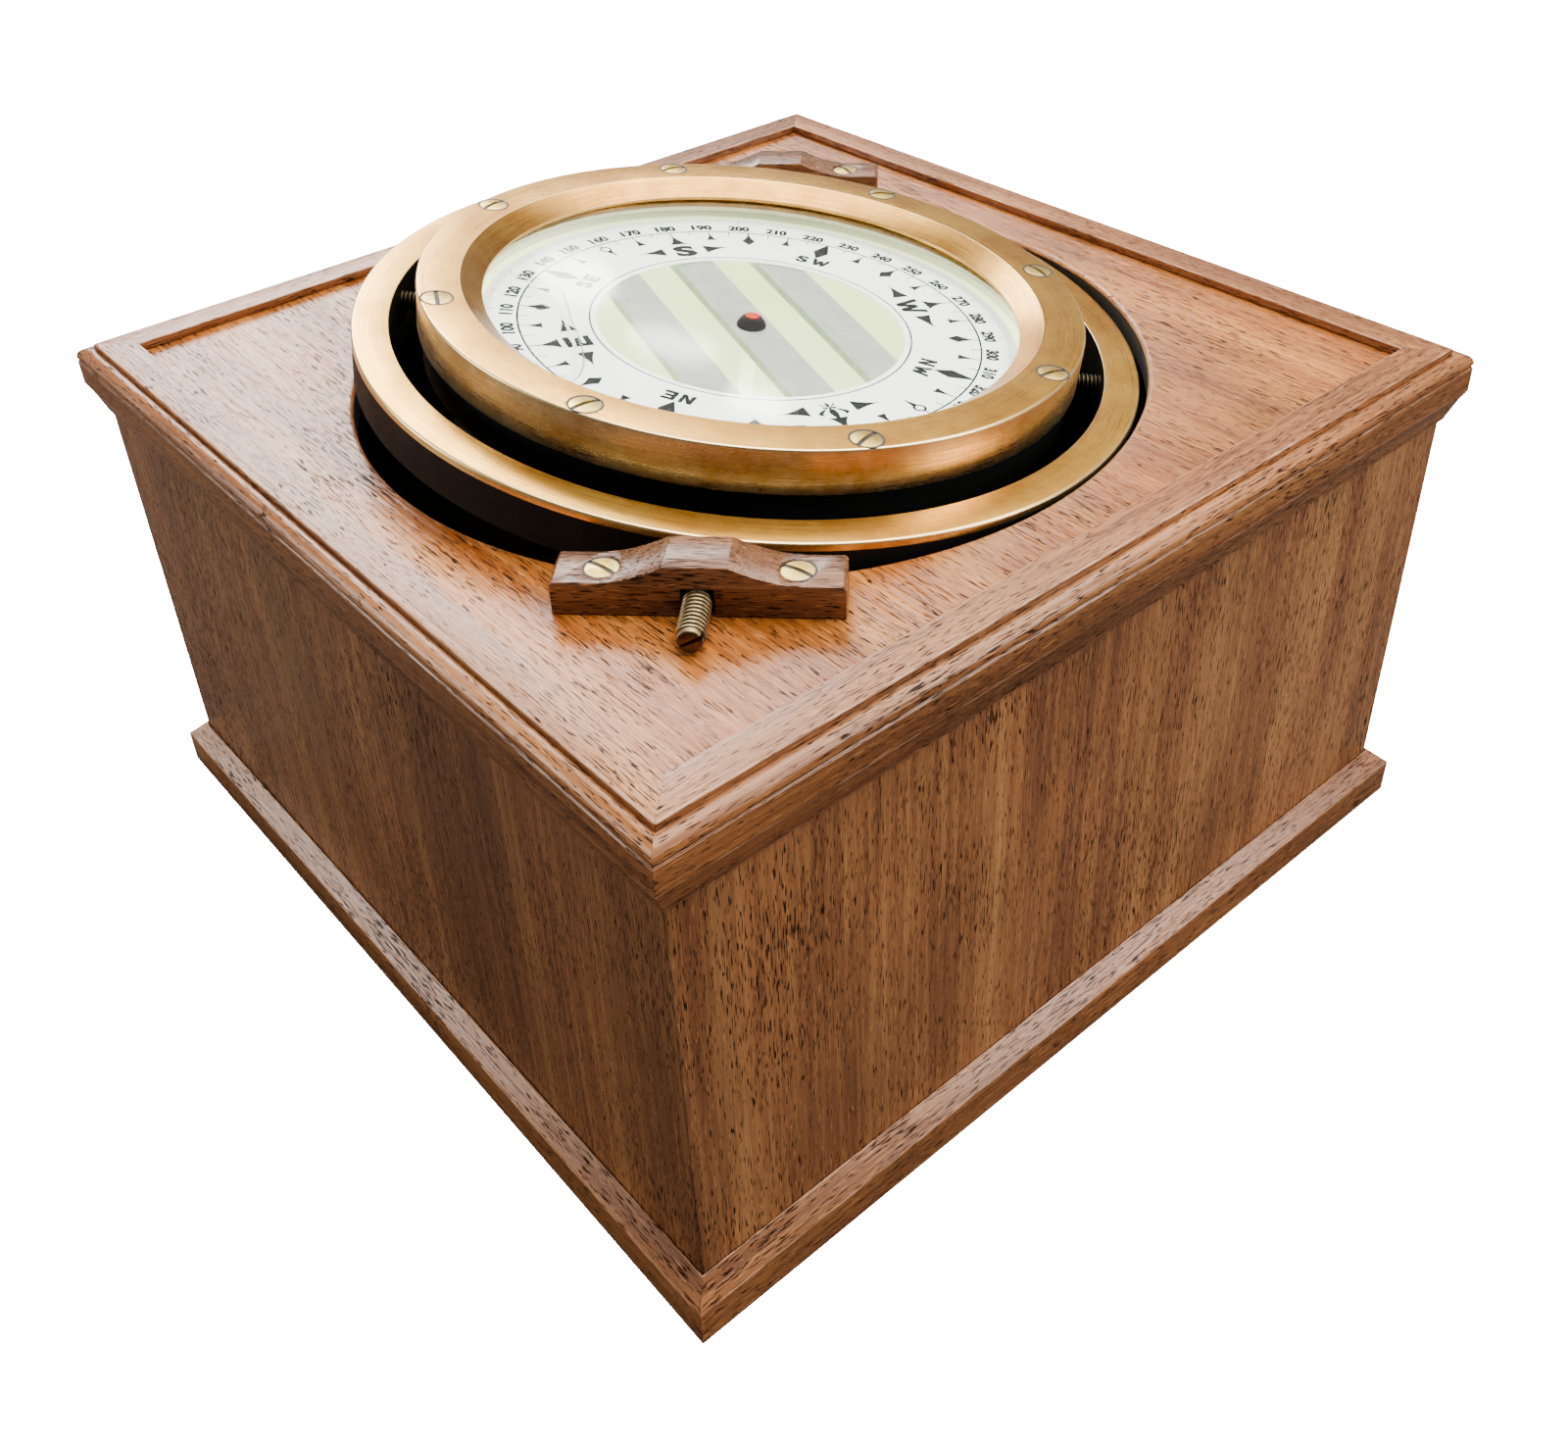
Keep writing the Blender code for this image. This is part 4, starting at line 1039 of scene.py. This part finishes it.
def petal(base, tip, width, bend=0.0, steps=10):
    """A pointed leaf from base to tip, bent sideways."""
    upper, lower = [], []
    for step in range(steps + 1):
        part = step / steps
        along = base[0] + (tip[0] - base[0]) * part
        off = base[1] + (tip[1] - base[1]) * part + bend * math.sin(math.pi * part)
        half = width / 2 * math.sin(math.pi * part ** 0.8)
        upper.append((along, off + half))
        lower.append((along, off - half))
    return upper + lower[-2:0:-1]


# the lily that stands for north
ink_at(0, petal((56.6, 0), (63.6, 0), 2.4))
for side in (-1, 1):
    ink_at(0, petal((56.8, side * 0.9), (60.6, side * 3.8), 1.5, side * 1.1))
    ink_at(0, petal((60.8, side * 3.3), (58.6, side * 4.2), 1.3, side * 0.5))
    ink_at(0, petal((56.0, side * 0.3), (53.9, side * 2.4), 0.9, side * 0.4))
ink_at(0, [(56.1, -2.2), (56.1, 2.2), (56.8, 2.2), (56.8, -2.2)])
ink_at(0, petal((56.0, 0), (53.2, 0), 1.2))

# letters in straight strokes, from corner to corner of a square of side 1
STROKES = {"N": (((0, 0), (0, 1)), ((0, 1), (1, 0)), ((1, 0), (1, 1))),
           "E": (((0, 0), (0, 1)), ((0, 1), (1, 1)), ((0, 0.5), (0.85, 0.5)), ((0, 0), (1, 0))),
           "W": (((0, 1), (0.27, 0)), ((0.27, 0), (0.5, 0.8)), ((0.5, 0.8), (0.73, 0)), ((0.73, 0), (1, 1)))}


def drawn(letter, tall, wide, shift, pen):
    """One upright letter in strokes of a pen width, as (reach, sideways) outlines."""
    shapes = []
    for (x0, y0), (x1, y1) in STROKES[letter]:
        if y0 == y1:
            level = LETTERS + (y0 - 0.5) * (tall - pen)
            near, far = shift + (x0 - 0.5) * wide, shift + (x1 - 0.5) * wide
            shapes.append([(level - pen / 2, -near), (level - pen / 2, -far), (level + pen / 2, -far),
                           (level + pen / 2, -near)])
        else:
            low, high = LETTERS + (y0 - 0.5) * tall, LETTERS + (y1 - 0.5) * tall
            start, end = shift + (x0 - 0.5) * (wide - pen), shift + (x1 - 0.5) * (wide - pen)
            shapes.append([(low, pen / 2 - start), (low, -pen / 2 - start), (high, -pen / 2 - end),
                           (high, pen / 2 - end)])
    return shapes


ink = [band(POINTS_OUT, 0.6), band(LETTERS_IN, 0.5), printed("S", 180, LETTERS, 8.5, 7.6, 0.06)]
for letter, bearing, wide in (("E", 90, 6.6), ("W", 270, 10.2)):
    for shape in drawn(letter, 8.2, wide, 0, 1.95):
        ink_at(bearing, shape)
for text, bearing in (("NE", 45), ("SE", 135), ("SW", 225), ("NW", 315)):
    widths = [6.2 if letter == "W" else 4.2 for letter in text]
    spots = (-(widths[1] + 1.2) / 2, (widths[0] + 1.2) / 2)
    for letter, wide, spot in zip(text, widths, spots):
        if letter == "S":
            ink.append(printed("S", bearing + math.degrees(spot / LETTERS), LETTERS, 5.4, wide, 0.055))
            continue
        for shape in drawn(letter, 5.3, wide, spot, 1.35):
            ink_at(bearing, shape)
ink.append(flat_shapes(INK))
show("dial_ink", joined("dial_ink", ink), "card", DIAL_INK)

scale = []
for bearing in range(0, 360, 10):
    wide = 4.9 if 0 < bearing < 100 else 7.4
    scale.append(printed(str(bearing or 360), bearing, NUMBERS, 4.3, wide, 0.06))
for count, length, width in ((360, 1.7, 0.2), (72, 2.5, 0.24), (36, 3.1, 0.3)):
    tick = slab(length * MM, width * MM, 0.02 * MM)
    reach = TICKS_OUT * MM - length * MM / 2
    scale.append(copies(tick, count, reach, CARD @ Matrix.Translation((0, 0, INK_HEIGHT)), SCALE_INK))
show("dial_scale", joined("dial_scale", scale), "card", SCALE_INK)

for label in ("east", "middle", "west"):
    mesh = eased_copy("magnet_bar_" + label, 0.25 * MM, 1)
    show("magnet_" + label, mesh, "card", MAGNET_GREY, ("magnet_bar_" + label,))
_, _, _, MAGNET_TOP = measure("magnet_bar_middle", CARD)
cap_foot, cap_hollow = MAGNET_TOP + 0.05 * MM, CAP_OUT - 1.6 * MM
profile = [(0, CAP_TOP, 0), (DOT_OUT + 0.9 * MM, CAP_TOP, 0.4), (CAP_OUT, CAP_LOW + 0.6 * MM, 1.2),
           (CAP_OUT, cap_foot, 0), (cap_hollow, cap_foot, 0), (cap_hollow, CAP_TOP - 0.7 * MM, 0),
           (0, CAP_TOP - 0.7 * MM, 0)]
show("cap", lathe("cap", rounded(profile), CARD, 64), "card", CAP_BLACK, ("card_cap",))
profile = [(0, DOT_TOP, 0), (DOT_OUT, DOT_TOP, 0.15), (DOT_OUT, DOT_LOW, 0), (0, DOT_LOW, 0)]
show("dot", lathe("dot", rounded(profile), CARD, 48), "card", DOT_RED, ("cap_dot",))
dress("cap_jewel", RUBY)


# ---------------------------------------------------------------- air bubble under the glass
def see_through(name, colour, alpha):
    """A faint line where the bubble's edge bends the light: dark outside and bright inside."""
    material, tree, shader, where = blank(name)
    drift = noise(tree, where, 15 * MM)
    feed(tree, shader, {"Alpha": levels(tree, drift, (0.3, alpha * 0.7), (0.7, alpha)),
                        "Base Color": hue(colour), "Roughness": 0.15})
    return material


BUBBLE_DARK = see_through("bubble_edge_shadow", "#5f6a62", 0.75)
BUBBLE_LIGHT = see_through("bubble_edge_gleam", "#ffffff", 0.95)
# the bubble's edge across the glass, in millimetres from the middle of the bowl
EDGE = [(-9.0, -84.5), (-7.2, -76.0), (-3.5, -67.7), (-1.1, -60.8), (8.5, -56.8), (20.9, -52.8),
        (33.1, -48.3), (43.9, -45.2), (51.2, -44.5), (56.9, -45.1), (61.0, -49.0), (63.5, -55.0)]


def smooth_line(points, parts=8):
    """More points along an open line, rounded through the given ones."""
    line = []
    for index in range(len(points) - 1):
        p0 = Vector(points[max(index - 1, 0)])
        p1, p2 = Vector(points[index]), Vector(points[index + 1])
        p3 = Vector(points[min(index + 2, len(points) - 1)])
        for t in [step / parts for step in range(parts)]:
            line.append(0.5 * ((2 * p1) + (p2 - p0) * t + (2 * p0 - 5 * p1 + 4 * p2 - p3) * t * t
                               + (3 * p1 - p0 - 3 * p2 + p3) * t ** 3))
    return line + [Vector(points[-1])]


def ribbon(name, line, shift, width, height):
    """A thin strip beside a line, narrowing to its ends."""
    form = bmesh.new()
    left, right = [], []
    for index, spot in enumerate(line):
        ahead = line[min(index + 1, len(line) - 1)] - line[max(index - 1, 0)]
        side = Vector((-ahead.y, ahead.x)).normalized()
        half = width / 2 * math.sin(math.pi * (index + 0.5) / len(line)) ** 0.4
        for row, sign in ((left, 1), (right, -1)):
            place = spot + side * (shift + sign * half)
            row.append(form.verts.new(BOWL @ Vector((place.x * MM, place.y * MM, height))))
    for index in range(len(line) - 1):
        form.faces.new((left[index], right[index], right[index + 1], left[index + 1]))
    return to_mesh(form, name)


BUBBLE_LINE = smooth_line(EDGE)
UNDER_GLASS = GLASS_LOW - 0.15 * MM
for name, shift, width, height, finish in (("bubble_edge_dark", 0.0, 0.75, UNDER_GLASS, BUBBLE_DARK),
                                           ("bubble_edge_light", -1.9, 1.1, UNDER_GLASS - 0.05 * MM,
                                            BUBBLE_LIGHT)):
    show(name, ribbon(name, BUBBLE_LINE, shift, width, height), "bowl", finish)


# ---------------------------------------------------------------- stage, light and camera
floor_form = bmesh.new()
bmesh.ops.create_grid(floor_form, x_segments=1, y_segments=1, size=3.0)
floor = placed("floor", to_mesh(floor_form, "floor"))
floor.location = (0, 0, -0.5 * MM)
WHITE = 30.0                              # strong enough to show as pure white to the camera
FLOOR_WHITE, floor_tree, floor_shader, _ = blank("white_paper_floor")
# pure white to the camera, and brown in what it throws back onto the case
feed(floor_tree, floor_shader, {"Base Color": hue("#33261b"), "Roughness": 0.8})
seen = add(floor_tree, "ShaderNodeLightPath").outputs["Is Camera Ray"]
glow = add(floor_tree, "ShaderNodeEmission", {"Color": (1, 1, 1, 1), "Strength": WHITE})
paper = add(floor_tree, "ShaderNodeMixShader", {0: seen, 1: floor_shader.outputs[0], 2: glow.outputs[0]})
feed(floor_tree, floor_tree.nodes["Material Output"], {"Surface": paper.outputs[0]})
floor.data.materials.append(FLOOR_WHITE)

world = bpy.context.scene.world or bpy.data.worlds.new("white_room")
bpy.context.scene.world = world
world.use_nodes = True
sky = world.node_tree
sky.nodes.clear()
rays = add(sky, "ShaderNodeLightPath")
direction = add(sky, "ShaderNodeTexCoord").outputs["Generated"]
toward = vectors(sky, "DOT_PRODUCT", direction, (-0.66, 0.62, 0.42))["Value"]
walls = add(sky, "ShaderNodeMapRange", {"Value": toward, "From Min": -0.3, "From Max": 1.0,
                                       "To Min": 0.14, "To Max": 0.5})
room = add(sky, "ShaderNodeBackground", {"Color": (1.0, 0.98, 0.95, 1), "Strength": walls.outputs[0]})
plain = add(sky, "ShaderNodeBackground", {"Color": (1, 1, 1, 1), "Strength": WHITE})
choice = add(sky, "ShaderNodeMixShader", {0: rays.outputs["Is Camera Ray"], 1: room.outputs[0],
                                         2: plain.outputs[0]})
add(sky, "ShaderNodeOutputWorld", {"Surface": choice.outputs[0]})


def lamp(name, spot, target, size, power, colour=(1, 1, 1), tall=None):
    """A rectangular light at a spot, facing a target."""
    light = bpy.data.lights.new(name, "AREA")
    light.shape = "RECTANGLE"
    light.size, light.size_y = size, tall or size
    light.energy = power
    light.color = colour
    made = placed(name, light)
    made.location = spot
    made.rotation_euler = (Vector(target) - Vector(spot)).to_track_quat("-Z", "Y").to_euler()
    return made


DAYLIGHT, ROOM = (0.97, 0.99, 1.0), (1.0, 0.98, 0.95)
lamp("window_left", (-2.52, 0.78, 1.66), (0, 0, 0.2), 1.15, 74, DAYLIGHT, 1.2)
lamp("window_back", (-1.71, 1.77, 2.2), (0, 0, 0.2), 0.8, 8, DAYLIGHT, 0.7)
lamp("ceiling", (0.2, 0.6, 2.3), (0, 0, 0.1), 2.4, 190, ROOM)
lamp("window_left_high", (-2.0, 1.25, 2.1), (0, 0, 0.2), 0.8, 24, DAYLIGHT, 0.6)
lamp("window_right", (2.5, 1.75, 1.3), (0, 0, 0.1), 1.0, 64, ROOM)
lamp("window_front_left", (-1.95, -2.16, 0.8), (0, 0, 0.1), 1.0, 40, (1.0, 0.97, 0.93))


def gleam(name, azimuth, elevation, reach, size, power, stretch=1.0):
    """A small round light far off, seen only as a soft patch on the glass."""
    out, rise = polar(1.0, math.radians(elevation))
    ray = Vector((*polar(out, math.radians(azimuth)), rise))
    made = lamp(name, PIVOT + ray * reach, PIVOT, size, power, (1, 1, 1), size * stretch)
    made.data.shape = "ELLIPSE"
    return made


gleam("gleam_left", 142.3, 24.0, 3.0, 0.17, 1.2, 0.6)
gleam("gleam_streak", 137.6, 25.8, 3.0, 0.2, 0.7, 0.28)
gleam("gleam_low", 133.2, 27.3, 3.0, 0.14, 0.7, 0.35)

lens = bpy.data.cameras.new("camera")
lens.sensor_width, lens.sensor_fit = 36.0, "HORIZONTAL"
lens.lens, lens.shift_x, lens.shift_y = 37.19, 0.0016, -0.1006
lens.clip_start, lens.clip_end = 0.01, 50
CAMERA_SPOT = Vector((0.35993, -0.28542, 0.41260))
camera = placed("camera", lens)
azimuth, elevation, roll = 0.885, 0.6044, -0.0419
back = Vector((math.sin(azimuth) * math.cos(elevation), -math.cos(azimuth) * math.cos(elevation),
               math.sin(elevation)))
right = Vector((math.cos(azimuth), math.sin(azimuth), 0))
up = back.cross(right)
turned_right = right * math.cos(roll) + up * math.sin(roll)
turned_up = up * math.cos(roll) - right * math.sin(roll)
camera.matrix_world = axes(turned_right, turned_up, back, CAMERA_SPOT)
bpy.context.scene.camera = camera
